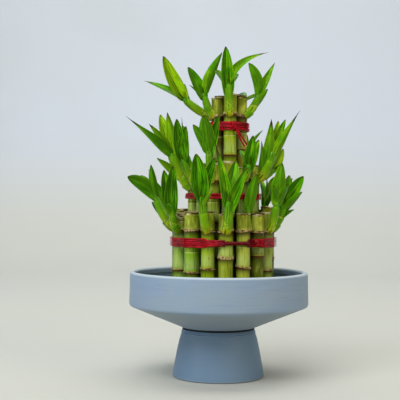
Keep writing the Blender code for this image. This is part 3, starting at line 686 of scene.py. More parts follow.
# %% The plan of the shoots
FRONT_SHOOTS = (
    ("inner_01", 1.05, (7, -24, 260), (
        (4, -30, 292, 11.5, 1.0, 0.8), (42, -30, 287, 8, 0.7, 1, 0.45), (-5, -16, 273, 7.5, 0.7, 1),
        (16, -12, 270, 6.5, 0.7, 1))),
    ("inner_02", 1.05, (34.5, -6, 252), (
        (25, -12, 280, 9.5, 0.9, 1, 0.4), (49, -4, 282, 7.5, 0.4, 1), (42, -12, 257, 6.5, 0.5, 0.6))),
    ("inner_03", 0.95, (20, 26, 248), (
        (43, 36, 258, 8.5, 0.0, 1), (24, 54, 261, 8.5, 0.0, 1), (7, 48, 256, 8.5, 0.0, 1))),
    ("inner_04", 1.12, (-32.5, -2, 249), (
        (-51, -10, 286, 12.5, 0.9, 1), (-69, 4, 265.5, 8, 0.2, 1, 0.25), (-32, 4, 263, 5.5, 0.5, 0.9))),
    ("inner_05", 1.0, (-15, -10, 253), (
        (-29, -12, 276, 10.5, 0.8, 0.9), (1.5, -16, 289, 9.5, 0.8, 1), (-28, -16, 260, 5, 0.2, 0.8))),
    ("middle_10", 1.15, (-43, -4, 200), (
        (-82, -40, 230, 10, 0.6, 1, 0.02), (-63, -18, 225, 8, 0.7, 1), (-54, 4, 235, 11, 0.9, 1),
        (-47, -10, 236, 13.5, 0.9, 0.6), (-56, -14, 195, 8, 0.7, 0.42))),
    ("middle_11", 1.0, (-33, -28, 193), (
        (-30, -34, 222, 9.5, 0.9, 1), (-38, -36, 228, 11, 0.9, 1), (-34, -16, 222, 9, 0.7, 0.8))),
    ("middle_12", 1.0, (-10, -32, 201), (
        (-24, -38, 223, 9.5, 0.8, 1), (-15, -42, 231, 13.5, 1.0, 1), (-1, -34, 233, 9, 0.9, 0.9))),
    ("middle_02", 1.0, (25, -34, 189), (
        (28, -38, 214, 11, 1.0, 0.7), (33.5, -28, 211, 9.5, 0.6, 0.7), (17, -26, 202, 7, 0.5, 1))),
    ("middle_04", 1.15, (48, -2, 202), (
        (46, -8, 231, 11, 0.9, 0.5), (53, 6, 230, 8, 0.4, 1), (59, -2, 231, 8, 0.4, 1),
        (71, -12, 238.5, 9, 0.8, 0.9, 0.05), (37, -8, 212, 7, 0.8, 0.3))),
    ("middle_05", 0.95, (50, 16, 186), (
        (59, 22, 206, 9, 0.5, 1), (47, 24, 212, 9, 0.5, 1), (57, 30, 196, 8, 0.2, 1))),
    ("outer_13", 1.15, (-57, -4, 160), (
        (-81, -24, 178, 12.5, 0.9, 1, 0.3), (-71, 4, 180, 10, 0.7, 1), (-64, -2, 186, 8, 0.6, 0.6),
        (-61, -16, 189, 8, 0.6, 1), (-61, 6, 156, 6, 0.4, 0.6))),
    ("outer_14", 1.1, (-44, -26, 155), (
        (-49, -30, 184, 11.5, 0.8, 0.8), (-41, -36, 187, 12, 0.9, 0.8),
        (-56, -42, 164, 7, 0.5, 0.6))),
    ("outer_16", 1.1, (-16, -54, 161), (
        (-21, -60, 197, 15, 1.0, 1), (-5, -56, 194, 10, 0.9, 1), (-31, -60, 177, 5.5, 0.2, 0.8),
        (-7, -66, 166, 5.5, 0.3, 0.8))),
    ("outer_01", 1.15, (7, -56, 157), (
        (-6, -52, 211, 9.5, 0.9, 0.9), (13, -46, 192, 12, 0.9, 1), (22, -62, 186, 10, 0.9, 0.8))),
    ("outer_03", 0.68, (24, -29.5, 153), (
        (32, -34, 181, 10, 0.9, 0.9), (22, -25, 172, 7, 0.4, 1))),
    ("outer_05", 1.15, (58, -4, 154), (
        (75, -6, 180, 12.5, 0.9, 1), (73, -16, 166, 7.5, 0.5, 0.8), (63, 2, 181, 12.5, 0.9, 0.8),
        (67, -4, 150, 6, 0.4, 0.6))),
    ("outer_04", 1.05, (50, -24, 156), (
        (53.5, -32, 191, 12, 0.95, 1, 0.05), (58, -40, 171, 8, 0.5, 1), (46, -38, 171, 7, 0.6, 1))),
)
BACK_CANES = ("outer_06", "outer_07", "outer_09", "outer_10", "outer_12",
              "middle_06", "middle_07", "middle_09")
BACK_CROWN_OUT = (14, 19)
BACK_CROWN_UP = (19, 26)
BACK_CROWN_ASIDE = (-3, 3)
BACK_LEAF_LENGTH = (27, 37)
BACK_LEAVES = ((0.62, -1.0, 8.5), (0.55, 0.15, 10.5), (0.62, 1.0, 8.5), (0.12, 0.3, 6.5))
BACK_STEM_WIDTH = (0.9, 1.1)
LEAF_REACH = 79.0 * MM
print("shoots in the plan:", len(FRONT_SHOOTS), "in front and", len(BACK_CANES), "at the back")


# %% [markdown]
# A stem is guided by three points, and so is a leaf: where it starts, where it is pulled to first,
# and where it ends. The crown and the tips come from the plan. A leaf that would have met its
# neighbour was bent aside in the solid model, so each tip is looked for among the solid's own
# points, in the places that it can have been moved to.

# %% The lines of stems and leaves
STEM_ROOT = 0.35
STEM_PULL = 0.35
SHORTEST_PULL = 2.5 * MM
BLADE_PULL = 0.15


def mm(x, y, z):
    return Vector((x, y, z)) * MM


def stem_guide(cane, crown):
    """Three points that guide the stem: out of the cane's side, then up to its crown."""
    axis = cane["axis"] + UP * cane["shoot"]
    run = Vector((crown.x - axis.x, crown.y - axis.y, 0.0))
    out = run.normalized()
    reach = cane["radius"] + max(SHORTEST_PULL, STEM_PULL * (run.length - cane["radius"]))
    return axis + out * (cane["radius"] * STEM_ROOT), axis + out * reach, crown


def on_line(guide, t):
    """A place on a guided line, from 0 at its start to 1 at its end, and its direction there."""
    start, pull, end = guide
    return bend(start, pull, end, t), ((pull - start) * (1 - t) + (end - pull) * t).normalized()


def leaf_of(tip, width, facing, at=1.0, pull=BLADE_PULL):
    """One leaf's tip, width, facing, place on its stem and pull towards the stem's direction."""
    return dict(tip=tip, width=width * MM, facing=facing, at=at, pull=pull)


# %% The shoots at the back
MIDDLES = {"outer": 3.6 * MM, "middle": 5.4 * MM, "inner": 8.0 * MM}  # of the rings, to the right


def grown_at_the_back(cane, draw):
    """A shoot's crown and leaves by one rule: out from the ring, up, and fanned."""
    axis = cane["axis"] + UP * cane["shoot"]
    out = (cane["axis"] - Vector((MIDDLES[cane["tier"]], 0.0, 0.0))).normalized()
    aside = UP.cross(out)
    crown = axis + out * draw.uniform(*BACK_CROWN_OUT) * MM + UP * draw.uniform(*BACK_CROWN_UP) * MM
    crown += aside * draw.uniform(*BACK_CROWN_ASIDE) * MM
    leaves = []
    for lean, turn, width in BACK_LEAVES:
        length = draw.uniform(*BACK_LEAF_LENGTH) * MM
        tip = crown + turned(UP, turned(out, aside, turn), lean) * length
        spread = Vector((tip.x, tip.y, 0.0))
        if spread.length > LEAF_REACH:
            tip -= spread * (1 - LEAF_REACH / spread.length)
        leaves.append(leaf_of(tip, width, 0.0))
    return crown, leaves


# %% Where each shoot and its leaves grow
STEM_WIDTH = 6.2 * MM
TURN_AWAY_STEPS = (3, 6, 9, 12, 16, 20)
TURN_AWAY = (
    (0, -1, 0), (0, 1, 0), (0.6, -0.6, 0), (-0.6, -0.6, 0), (0.6, 0.6, 0), (-0.6, 0.6, 0),
    (0, 0, 1), (0, 0, -1),
)


def tip_in_solid(name, base, wanted):
    """The solid's own tip for a leaf, which was bent clear of its neighbours, or None."""
    places = [wanted]
    for away in TURN_AWAY_STEPS:
        moved = [wanted + mm(*way) * away for way in TURN_AWAY]
        places += [base + (p - base).normalized() * (wanted - base).length for p in moved]
    for tip in places:
        if min((tip - p).length for p in solid_points(name)) < SAME_PLACE:
            return tip
    return None


shoots = {}
for name, thickness, crown, tips in FRONT_SHOOTS:
    leaves = [leaf_of(mm(x, y, z), *rest) for x, y, z, *rest in tips]
    shoots[name] = dict(crown=mm(*crown), leaves=leaves, radius=STEM_WIDTH * thickness / 2)
draw = random.Random(7)
for name in BACK_CANES:
    crown, leaves = grown_at_the_back(canes[name], draw)
    shoots[name] = dict(crown=crown, leaves=leaves, radius=STEM_WIDTH * draw.uniform(*BACK_STEM_WIDTH) / 2)
wanted = sum(len(shoot["leaves"]) for shoot in shoots.values())
for name, shoot in shoots.items():
    shoot["guide"] = stem_guide(canes[name], shoot["crown"])
    shoot["axis"] = on_line(shoot["guide"], 1.0)[1]
    for leaf in shoot["leaves"]:
        leaf["base"], leaf["axis"] = on_line(shoot["guide"], leaf["at"])
        leaf["tip"] = tip_in_solid(name, leaf["base"], leaf["tip"])
    shoot["leaves"] = [leaf for leaf in shoot["leaves"] if leaf["tip"]]
print("shoots:", len(shoots), "leaves:", sum(len(s["leaves"]) for s in shoots.values()), "of", wanted)

# %% [markdown]
# A leaf is a lance: widest below its middle, folded a little along its rib, and drawn out to a
# tip that dries first. A slender leaf is mostly tip. Its veins run its whole length, its margin
# and rib are paler, and so are its foot and its underside, which has no wax; the margin is paler
# still with a painted highlight along its rim. The half of the blade that folds away from the light
# is painted darker as painted shade. A leaf is thin enough to let some light through, and a leaf
# in the sun glows yellow-green, partly by that light and partly as painted light in its tone. The
# veins are 0.3 mm apart, too fine to show, so a blade has about eight of them. They are noise laid
# out along the blade: its own length and width, not the place in the room, say where a vein is.

# %% The finish of leaves
leaf_green, tree = finish_named(
    "leaf_green",
    {"Subsurface Weight": 0.15, "Subsurface Radius": (0.35, 1.0, 0.05), "Subsurface Scale": 0.0012,
     "Specular IOR Level": 0.42, "Specular Tint": (0.6, 1.0, 0.05, 1.0)},
)
tone = mask(tree, "tone")
lanes = {0: mask(tree, "across"), 1: mask(tree, "along", 0.35), 2: tone}
lanes = add(tree, "ShaderNodeCombineXYZ", lanes)
veins = add(tree, "ShaderNodeTexNoise", {"Vector": lanes, "Scale": 8.0, "Detail": 3.0})
mixed = add(tree, "ShaderNodeMath", {0: pattern(tree, 9 * MM), 1: 0.9, 2: tone}, operation="MULTIPLY_ADD")
aside = add(tree, "ShaderNodeMath", {0: mask(tree, "across")}, operation="ABSOLUTE")
green = coats(
    tree, "#145200",
    ("#3c8c04", (mixed, 0.5, 0.95)),
    # yellow-green where the tone is high, partly painted light
    ("#a0c814", (mixed, 0.93, 1.35)),
    ("#052600", (veins, 0.5, 0.59, 0.78)),
    ("#7cc414", (veins, 0.47, 0.36, 0.62)),
    # painted shade on the half that folds away from the light
    ("#063806", ("across", -0.05, 0.3, 0.55)),  # the half that folds away from the light
    ("#6fae1c", (aside, 0.08, 0.02, 0.4)),  # the rib
    # the margin: paler, and lighter with a painted highlight along its rim
    ("#8cb824", (aside, 0.86, 1.0, 0.45)),  # the margin
    ("#6aa214", ("along", 0.16, 0.02, 0.5)),  # the foot of the blade
    ("#a8cc1c", ("along", 0.0, -0.26, 0.85)),  # the sheath
    ("#5e9c18", "under", 0.35),
    ("#33240f", "dry"),
)
dress(leaf_green, green, (veins, 0.15 * MM, 0.7), (veins, 0.0, 1.2, 0.75))

# %% [markdown]
# A stem is yellow at its root, where sheaths keep the light off, and turns green towards its
# crown, with fine streaks along it. The upper edge of each sheath is pale, then dark at its lip,
# where painted shade stands for the shadow of the step from sheath to stem. A sheath that has died
# is paper: thin, brown and torn along its fibres.

# %% The finish of stems
stem_green, tree = finish_named(
    "stem_green",
    {"Subsurface Weight": 0.12, "Subsurface Radius": (0.5, 1.0, 0.1), "Subsurface Scale": 0.0015,
     "Specular IOR Level": 0.4, "Specular Tint": WAX_GLEAM},
)
lanes = {0: mask(tree, "round_x"), 1: mask(tree, "round_y"), 2: mask(tree, "along", 0.7)}
lanes = add(tree, "ShaderNodeCombineXYZ", lanes)
streaks = add(tree, "ShaderNodeTexNoise", {"Vector": lanes, "Scale": 3.5, "Detail": 3.0})
green = coats(
    tree, "#d4d422",
    ("#98c814", ("along", 0.12, 0.5)),
    ("#4a9206", ("along", 0.5, 0.95)),
    ("#1c4402", (streaks, 0.52, 0.62, 0.85)),
    ("#d2d860", (pattern(tree, 5 * MM), 0.58, 0.8, 0.35)),
    ("#c4d84c", ("edge", 0.2, 0.5, 0.4)),
    # painted shade: dark where the sheath's lip meets the stem
    ("#30440a", ("edge", 0.7, 0.95, 0.75)),
    ("#a06a3a", ("along", 0.14, 0.05, 0.6)),
)
dress(stem_green, green, (streaks, 0.12 * MM, 0.6), (streaks, 0.0, 1.1, 0.6))

# %% The finish of dry sheaths
dry_sheath, tree = finish_named("papery_dry_sheath", {"Roughness": 0.8})
fibre = pattern(tree, 0.6 * MM, squeeze=(1.0, 1.0, 0.12))
paper = coats(
    tree, "#cdb878",
    ("#7c5226", (fibre, 0.42, 0.64)),
    ("#4a2f16", (pattern(tree, 1.6 * MM), 0.56, 0.7, 0.85)),
    ("#e0d6b4", ("edge", 0.6, 1.0, 0.7)),
)
dress(dry_sheath, paper, (fibre, 0.2 * MM, 0.8))

# %% [markdown]
# The stem is a row of old leaf bases, each a sheath that wraps the next: a round core, and over
# it sheaths whose upper edges run slantwise to where a leaf was. The youngest leaf stands in the
# crown, still rolled.

# %% The form of a stem
STEM_SIDES = 16
STEM_RINGS = 26
STEM_SWELL = (1.3, 1.15, 0.98, 0.98, 0.8)
NOTCHES = ((0.3, 0.16), (0.5, 0.14))  # where on the stem, and how deep in mm
NOTCH_WIDTH = 0.02
CROWN_NARROWS = 0.3
SHEATHS = ((0.16, 0.44), (0.38, 0.66))
SHEATH_STEPS = 6
SHEATH_SUNK, SHEATH_SWELL, SHEATH_LIP = 0.3 * MM, 0.55 * MM, 0.2 * MM
SHEATH_SLANT = 0.1
SPEAR_LENGTH = (6, 10)
SPEAR_RINGS, SPEAR_SIDES = 8, 10


def stem_at(shoot, t):
    """The stem's middle, its direction and its radius at a share of its way."""
    place, run = on_line(shoot["guide"], t)
    step = t * (len(STEM_SWELL) - 1)
    low = min(int(step), len(STEM_SWELL) - 2)
    part = smooth(0, 1, step - low)
    return place, run, shoot["radius"] * (STEM_SWELL[low] * (1 - part) + STEM_SWELL[low + 1] * part)


# %% Grow a stem and the youngest leaf in its crown
def grow_stem(draft, shoot, draw):
    start, pull, crown = shoot["guide"]
    side = (pull - start).cross(crown - start)
    side = side.normalized() if side.length > 1e-9 else Vector((1, 0, 0))

    def ring(t, grown, along, edge=0.0, slant=0.0, turn=0.0):
        spots = []
        for a in all_round(STEM_SIDES):
            place, run, radius = stem_at(shoot, min(1.0, t + slant * math.cos(a - turn)))
            up = run.cross(side).normalized()
            values = {"along": along, "edge": edge, "round_x": math.cos(a), "round_y": math.sin(a)}
            spots.append((place + turned(side, up, a) * (radius + grown), values))
        return spots

    rings = []
    for i in range(STEM_RINGS):
        t = i / (STEM_RINGS - 1)
        notch = sum(deep * MM * math.exp(-(((t - at) / NOTCH_WIDTH) ** 2)) for at, deep in NOTCHES)
        rings.append(ring(t, -notch - CROWN_NARROWS * shoot["radius"] * (t == 1.0), t))
    draft.tube(rings, STEM, start, crown)
    turn = draw.uniform(0, 2 * math.pi)
    for low, high in SHEATHS:
        turn += math.pi + draw.uniform(-0.5, 0.5)
        rings = []
        for share in [i / SHEATH_STEPS for i in range(SHEATH_STEPS + 1)]:
            t = low + (high - low) * share
            grown = SHEATH_SWELL * smooth(0, 0.3, share) + SHEATH_LIP * share**3 - SHEATH_SUNK
            rings.append(ring(t, grown, t, share**4, SHEATH_SLANT * share, turn))
        inside_lip = ring(high, 0.1 * MM, high, 1.0, SHEATH_SLANT, turn)
        rings += [inside_lip, ring(low, -2 * SHEATH_SUNK, low)]
        draft.tube(rings, STEM, closed=True)


def grow_spear(draft, shoot, draw):
    """The youngest leaf, still rolled, standing in the crown."""
    length = draw.uniform(*SPEAR_LENGTH) * MM
    crown, axis = shoot["crown"], shoot["axis"]
    side = axis.orthogonal().normalized()
    up = axis.cross(side)
    rings = []
    for t in [i / SPEAR_RINGS for i in range(SPEAR_RINGS)]:
        middle = crown + axis * (length * (1.25 * t - 0.25))
        radius = (1.25 - 1.2 * t**1.6) * MM
        values = {"along": 0.25 + 0.5 * t, "across": 0.3, "tone": 0.75}
        rings.append([(middle + turned(side, up, a) * radius, values) for a in all_round(SPEAR_SIDES)])
    draft.tube(rings, LEAF, crown - axis * (0.3 * length), crown + axis * length)


# %% [markdown]
# A flat card would do for a leaf far away. Up close the light shows its fold, its thick rib and
# its thin margin, so each one is a closed tube with a flat section. It follows the solid's own
# line from root to tip. Under its root it is a sheath wrapped round the stem it grew on, open to
# one side. Then it clasps the stem, and opens into a shallow channel that ripples at its margins.

# %% The form of a leaf
LEAF_SECTIONS = 22
LAST_SECTION = 0.988
LEAF_SIDES = 8
ROOT_DEPTH = 4.5 * MM
ROOT_ASIDE = 0.8 * MM
RIB_THICK = 0.5 * MM
MARGIN_THICK = 0.12 * MM
BLADE_FOLD = 0.3
RIPPLE, RIPPLE_WAVES = (0.03, 0.1), 9
CLASP = math.radians(105)
CLASP_END = 0.17
FIRST_LAYER, NEXT_LAYER = 0.12 * MM, 0.14 * MM
SHEATH_ROWS = 7
SHEATH_SPAN = 0.34
SHEATH_GAP = 0.8 * MM
SHEATH_WRAP = 0.3  # how much further round the stem it reaches at its foot
SHEATH_ALONG = 0.3  # how far it goes on below the blade in the painted value "along"
WHIP_FROM, WHIP_OVER = 3.8, 1.8  # a leaf's length over its width, where it starts to be mostly tip
WIDEST, WHIP_WIDEST = 0.54, 0.40
FALL, WHIP_FALL = 0.66, 1.6
ROOT_WIDTH = 0.12
WHIP_TIP = 0.42 * MM
TONE_SPREAD = (-0.34, 0.26)
DRY_FROM, DRY_EDGE = 0.955, 0.04
WHIP_DRIES = 0.15

lanes = [-1 + 2 * k / LEAF_SIDES for k in range(LEAF_SIDES + 1)]
LEAF_SECTION = [(u, 1.0) for u in lanes] + [(u, -1.0) for u in reversed(lanes[1:-1])]
print("points round a leaf:", len(LEAF_SECTION))


# %% Grow a leaf
def grow_leaf(draft, shoot, number, draw, freshness_and_light):
    """The sheath of one leaf, and its blade, as one tube."""
    leaf = shoot["leaves"][number]
    base, axis, tip, width = leaf["base"], leaf["axis"], leaf["tip"], leaf["width"]
    length = (tip - base).length
    out = tip - base
    out = (out - axis * out.dot(axis)).normalized()
    root = base - axis * ROOT_DEPTH + out * ROOT_ASIDE
    pull = base + axis * (leaf["pull"] * length)
    stem_side = axis.cross(out).normalized()
    front_side = (tip - base).cross(Vector((0, 1, 0))).normalized()
    if front_side.dot(stem_side) < 0:
        front_side.negate()
    side = stem_side.lerp(front_side, leaf["facing"])

    # how slender it is decides where it is widest and how it narrows to its tip
    whip = min(1.0, max(0.0, (length / width - WHIP_FROM) / WHIP_OVER))
    widest = WIDEST + (WHIP_WIDEST - WIDEST) * whip
    fall = FALL + (WHIP_FALL - FALL) * whip
    swell = fall * (widest + ROOT_WIDTH) / (1 - widest)
    layer = FIRST_LAYER + NEXT_LAYER * number
    clasp_radius = stem_at(shoot, leaf["at"])[2] + layer + 0.2 * MM
    tone = min(1.0, max(0.0, freshness_and_light + draw.uniform(*TONE_SPREAD)))
    ripple, phase = draw.uniform(*RIPPLE), draw.uniform(0, 6.3)
    dry_from = DRY_FROM - WHIP_DRIES * whip * draw.uniform(0.6, 1.0)

    # the sheath follows the stem, wrapped round it
    stem_length = (shoot["guide"][2] - shoot["guide"][0]).length
    sheath_top = leaf["at"] - (ROOT_DEPTH + SHEATH_GAP) / stem_length
    rings = []
    for share in [i / SHEATH_ROWS for i in range(SHEATH_ROWS)]:
        place, run, radius = stem_at(shoot, max(0.05, sheath_top - SHEATH_SPAN * (1 - share)))
        forth = (out - run * out.dot(run)).normalized()
        radius += layer - 0.3 * MM * (1 - smooth(0, 0.5, share))
        spots = []
        for u, face in LEAF_SECTION:
            way = turned(forth, run.cross(forth), CLASP * (1 + SHEATH_WRAP * (1 - share)) * u)
            thick = MARGIN_THICK * face * smooth(0, 0.4, share)
            values = {"along": SHEATH_ALONG * (share - 1), "across": u, "tone": tone, "under": face < 0}
            spots.append((place + way * (radius - thick), values))
        rings.append(spots)

    # the blade leaves the clasp and opens on its way to the tip
    for i in range(LEAF_SECTIONS):
        t = LAST_SECTION * i / (LEAF_SECTIONS - 1)
        place, run = on_line((root, pull, tip), t)
        across = (side - run * side.dot(run)).normalized()
        up = run.cross(across)
        share = ((t + ROOT_WIDTH) / (widest + ROOT_WIDTH)) ** swell * ((1 - t) / (1 - widest)) ** fall
        half = max(width / 2 * share, WHIP_TIP * whip * (1 - t) ** 0.3)
        clasp = 1 - smooth(0.02, CLASP_END, t)
        middle = base + axis * (place - base).dot(axis)
        dry = smooth(dry_from, dry_from + DRY_EDGE, t)
        spots = []
        for u, face in LEAF_SECTION:
            thick = (MARGIN_THICK + (RIB_THICK - MARGIN_THICK) * (1 - u * u)) / 2
            thick *= min(1.0, 0.25 + half / (2 * MM)) * face
            wave = math.sin(RIPPLE_WAVES * t + phase + 2 * u)
            rise = BLADE_FOLD * abs(u) ** 1.3 + ripple * abs(u) ** 3 * wave
            open_blade = place + across * (half * u) + up * (half * rise + thick)
            clasping = middle + turned(out, stem_side, CLASP * u) * (clasp_radius - thick)
            values = {"along": t, "across": u, "tone": tone, "under": face < 0, "dry": dry}
            spots.append((open_blade.lerp(clasping, clasp), values))
        rings.append(spots)
    draft.tube(rings, LEAF, stem_at(shoot, max(0.05, sheath_top - SHEATH_SPAN))[0], tip)


# %% [markdown]
# Old leaves leave a papery sheath behind. Where it hasn't been rubbed off, a torn brown rim of it
# still stands round the joint. It is a thin collar, up the outside and down the inside, whose
# height changes with noise: slow noise for the large tears, fast noise for the fringe.

# %% Leave a torn sheath round a joint
TORN = {  # for each: which joint, how tall and how far it tilts, in mm
    "outer_14": ((0, 2.4, 0.5), (-1, 2.0, 0.8)), "outer_15": ((0, 2.0, 0.3), (-1, 2.4, 0.9)),
    "outer_16": ((0, 1.6, 0.5), (-1, 1.6, 0.8)), "outer_01": ((0, 4.4, 0.3), (-1, 1.6, 0.7)),
    "outer_02": ((0, 2.6, 1.4), (-1, 2.2, 1.2)), "outer_03": ((-1, 1.6, 0.6),),
    "outer_04": ((0, 1.8, 0.4), (-1, 1.8, 0.6)), "outer_05": ((0, 1.4, 0.4),),
    "outer_13": ((0, 2.2, 0.4), (-1, 1.6, 0.5)),
    "inner_01": ((-1, 2.0, 0.8),), "inner_02": ((-1, 1.8, 0.6),), "inner_05": ((-1, 2.2, 0.8),),
}
RIM_FORM = (  # a share of its height, and out in mm: up the outside, over the edge, down the inside
    (0.0, -0.2), (0.1, 0.45), (0.5, 0.65), (0.85, 0.72), (1.0, 0.78), (1.0, 0.6), (0.5, 0.4), (0.0, -0.4),
)
RIM_SIDES = 36
RIM_LOWER = 0.8 * MM
LEAST_LEFT = 0.08


def leave_sheath(draft, cane, joint, tall, tilt, draw):
    seed = Vector((draw.uniform(0, 50), draw.uniform(0, 50), 0.0))
    tilt_turn = draw.uniform(0, 2 * math.pi)
    rings = []
    for level, out in RIM_FORM:
        spots = []
        for turn in all_round(RIM_SIDES):
            way = level_way(turn)
            torn = 0.6 + 0.9 * noise.noise(seed + way * 2.5) + 0.4 * noise.noise(seed + way * 9.0)
            rise = (level * max(LEAST_LEFT, torn) * tall + tilt * math.cos(turn - tilt_turn)) * MM
            curl = 0.25 * noise.noise(seed + way * 5.0 + UP * 3) * level
            place = cane["axis"] + way * (cane["radius"] + (out + curl) * MM)
            spots.append((place + UP * (joint - RIM_LOWER + rise), {"edge": smooth(0.8, 1.0, level)}))
        rings.append(spots)
    draft.tube(rings, DRY, closed=True)


# %% [markdown]
# Now every stalk is grown from its parts, one object to each solid. How fresh a shoot is decides
# its green, and so does painted light: the ones that caught the most light are painted yellow-green,
# and those inside the plant are painted deep green as painted shade.

# %% Grow every stalk
# each shoot's green: its freshness, with painted light and painted shade in it
LEAF_FRESHNESS_AND_LIGHT = {
    "inner_01": 0.38, "inner_02": 0.4, "inner_03": 0.45, "inner_04": 0.75, "inner_05": 0.5,
    "middle_10": 0.86, "middle_11": 0.3, "middle_12": 0.24, "middle_02": 0.42, "middle_04": 0.62,
    "middle_05": 0.85, "outer_13": 0.42, "outer_14": 0.38, "outer_16": 0.54, "outer_01": 0.46,
    "outer_03": 0.4, "outer_05": 0.42, "outer_04": 0.48,
}
LEAF_FRESHNESS_AND_LIGHT_BEHIND = 0.4
DEEPEST_SKIN, PALEST_SKIN = (Vector(linear(shade)[:3]) for shade in ("#5f8414", "#9cb030"))
FINISHES = [cane_skin, cut_end, stem_green, leaf_green, dry_sheath]  # SKIN, END, STEM, LEAF, DRY

draw = random.Random(11)
total = 0
for name, cane in canes.items():
    draft = Draft()
    grow_cane(draft, cane, draw)
    for number, tall, tilt in TORN.get(name, ()):
        leave_sheath(draft, cane, cane["joints"][number], tall, tilt, draw)
    if name in shoots:
        grow_stem(draft, shoots[name], draw)
        for number in range(len(shoots[name]["leaves"])):
            grow_leaf(draft, shoots[name], number, draw, LEAF_FRESHNESS_AND_LIGHT.get(name, LEAF_FRESHNESS_AND_LIGHT_BEHIND))
        grow_spear(draft, shoots[name], draw)
    shade = DEEPEST_SKIN.lerp(PALEST_SKIN, draw.random())
    skin = linear(CANE_SKINS[name]) if name in CANE_SKINS else (*shade, 1.0)
    placed("living_" + name, draft.mesh("living_" + name, FINISHES, skin=skin), "bamboo", "stalk_" + name)
    total += len(draft.faces)
print("faces in the stalks:", total)

# %% [markdown]
# ## The ties
#
# Each ring of canes is held by florist's wire, thin iron with a glossy red plastic coat, wound
# round many times. It runs straight from cane to cane and bends only on them. On the outer ring
# the turns are pulled together at the front and twisted into one cord, where they shade each
# other. The scuffs in the coat are finer than they are drawn here, so that they show.

# %% The red wire
WIRE_WIDTH = 1.6 * MM

red_wire, tree = finish_named(
    "red_coated_wire", {"Roughness": 0.17, "Specular IOR Level": 0.5, "Specular Tint": (1.0, 0.25, 0.3, 1.0)}
)
x, y, z = (along_axis(tree, axis) for axis in "XYZ")
twist_shade = ((x, -7 * MM, 4 * MM), (x, 33 * MM, 26 * MM), (z, 130 * MM, 129 * MM), (y, 0.0, -5 * MM))
scuffs = pattern(tree, 0.5 * MM, 2.0)
red = coats(
    tree, "#700008",
    ("#ac0418", (pattern(tree, 4 * MM), 0.35, 0.65)),
    ("#3c0408", (scuffs, 0.6, 0.75, 0.35)),
    # painted shade where the twisted turns shade each other
    ("#300808", *twist_shade, 0.75),
)
dress(red_wire, red, (scuffs, 0.05 * MM, 0.2))

# %% The line of a tie
NARROWEST = 0.45
TWIST = ((-16, 1.0), (3, NARROWEST), (27, NARROWEST), (38, 1.0))  # degrees from the front, share of the width
NO_TWIST = ((0, 1.0),)
TIE_GAP = 0.1 * MM
BEND_STEP = 6
WIRE_STEP = 2.2 * MM


def hull_line(ring_canes, offset):
    """The closed line round a ring of canes, with a bend on each cane and straight between them:
    (place, angle, how far along) for each of its points, and the length of one turn."""
    line = []
    for i, cane in enumerate(ring_canes):
        before, after = ring_canes[i - 1], ring_canes[(i + 1) % len(ring_canes)]
        pairs = ((before, cane), (cane, after))
        start, end = (math.atan2(a["x"] - b["x"], b["y"] - a["y"]) for a, b in pairs)
        end += 2 * math.pi * (end < start)
        bends = max(2, int(math.degrees(end - start) / BEND_STEP))
        for turn in [start + (end - start) * step / bends for step in range(bends + 1)]:
            line.append((cane["axis"] + level_way(turn) * (cane["radius"] + offset), turn))
    spaced, gone = [], 0.0
    for (p, a), (q, b) in zip(line, line[1:] + line[:1]):
        parts = max(1, int((q - p).length / WIRE_STEP))
        b += 2 * math.pi * (b < a - 1)
        for share in [k / parts for k in range(parts)]:
            spaced.append((p.lerp(q, share), a + (b - a) * share, gone + (q - p).length * share))
        gone += (q - p).length
    return spaced, gone


def lay_wire(curve, places, cyclic=False):
    spline = curve.splines.new("POLY")
    spline.points.add(len(places) - 1)
    spline.points.foreach_set("co", [c for p in places for c in (*p, 1.0)])
    spline.use_cyclic_u = cyclic
    spline.use_smooth = True


# %% [markdown]
# A wire is a curve with a round bevel, which keeps it one width wherever it bends. Each turn of a
# tie has its own lane in the band and wanders a little in it, and every other one lies over its
# neighbours. Where the band narrows, the turns leave their lanes and spin round each other.

# %% The plan of the ties
TIES = {  # heights, widths and how far a turn wanders, in mm; the knot's place in degrees
    "outer": dict(height=121.0, band=9.2, strands=9, loose=0.7, knot=35, knot_tall=2.6,
                  ends=(((3, 0.6, -1.5), (6, 0.5, -3.5)),)),
    "middle": dict(height=161.5, band=6.2, strands=6, loose=1.0, knot=168, knot_tall=2.7,
                   ends=(((4, 1, -2), (8, 0, -6)), ((-4, 1, -1), (-7, 0.5, -5)))),
    "inner": dict(height=223.5, band=9.0, strands=8, loose=1.5, knot=14, knot_tall=4.1,
                  ends=(((5, 1.6, -7), (12, 1.0, -17)), ((3, 2.2, -9), (9, 2.0, -18)))),
}
LANE_OVER = 0.6
WANDER = (0.1, 0.3)
CORD_OUT, CORD_WIDE, CORD_TALL = 0.8, 0.8, 1.2
CORD_SPIN = 9 * MM
COIL_TURNS, COIL_POINTS = 2.5, 40
COIL_OUT, COIL_LONG = 1.15 * MM, 3.2 * MM
KNOT_OUT = 1.6 * MM
END_OUT = 1.2 * MM
END_POINTS = 15


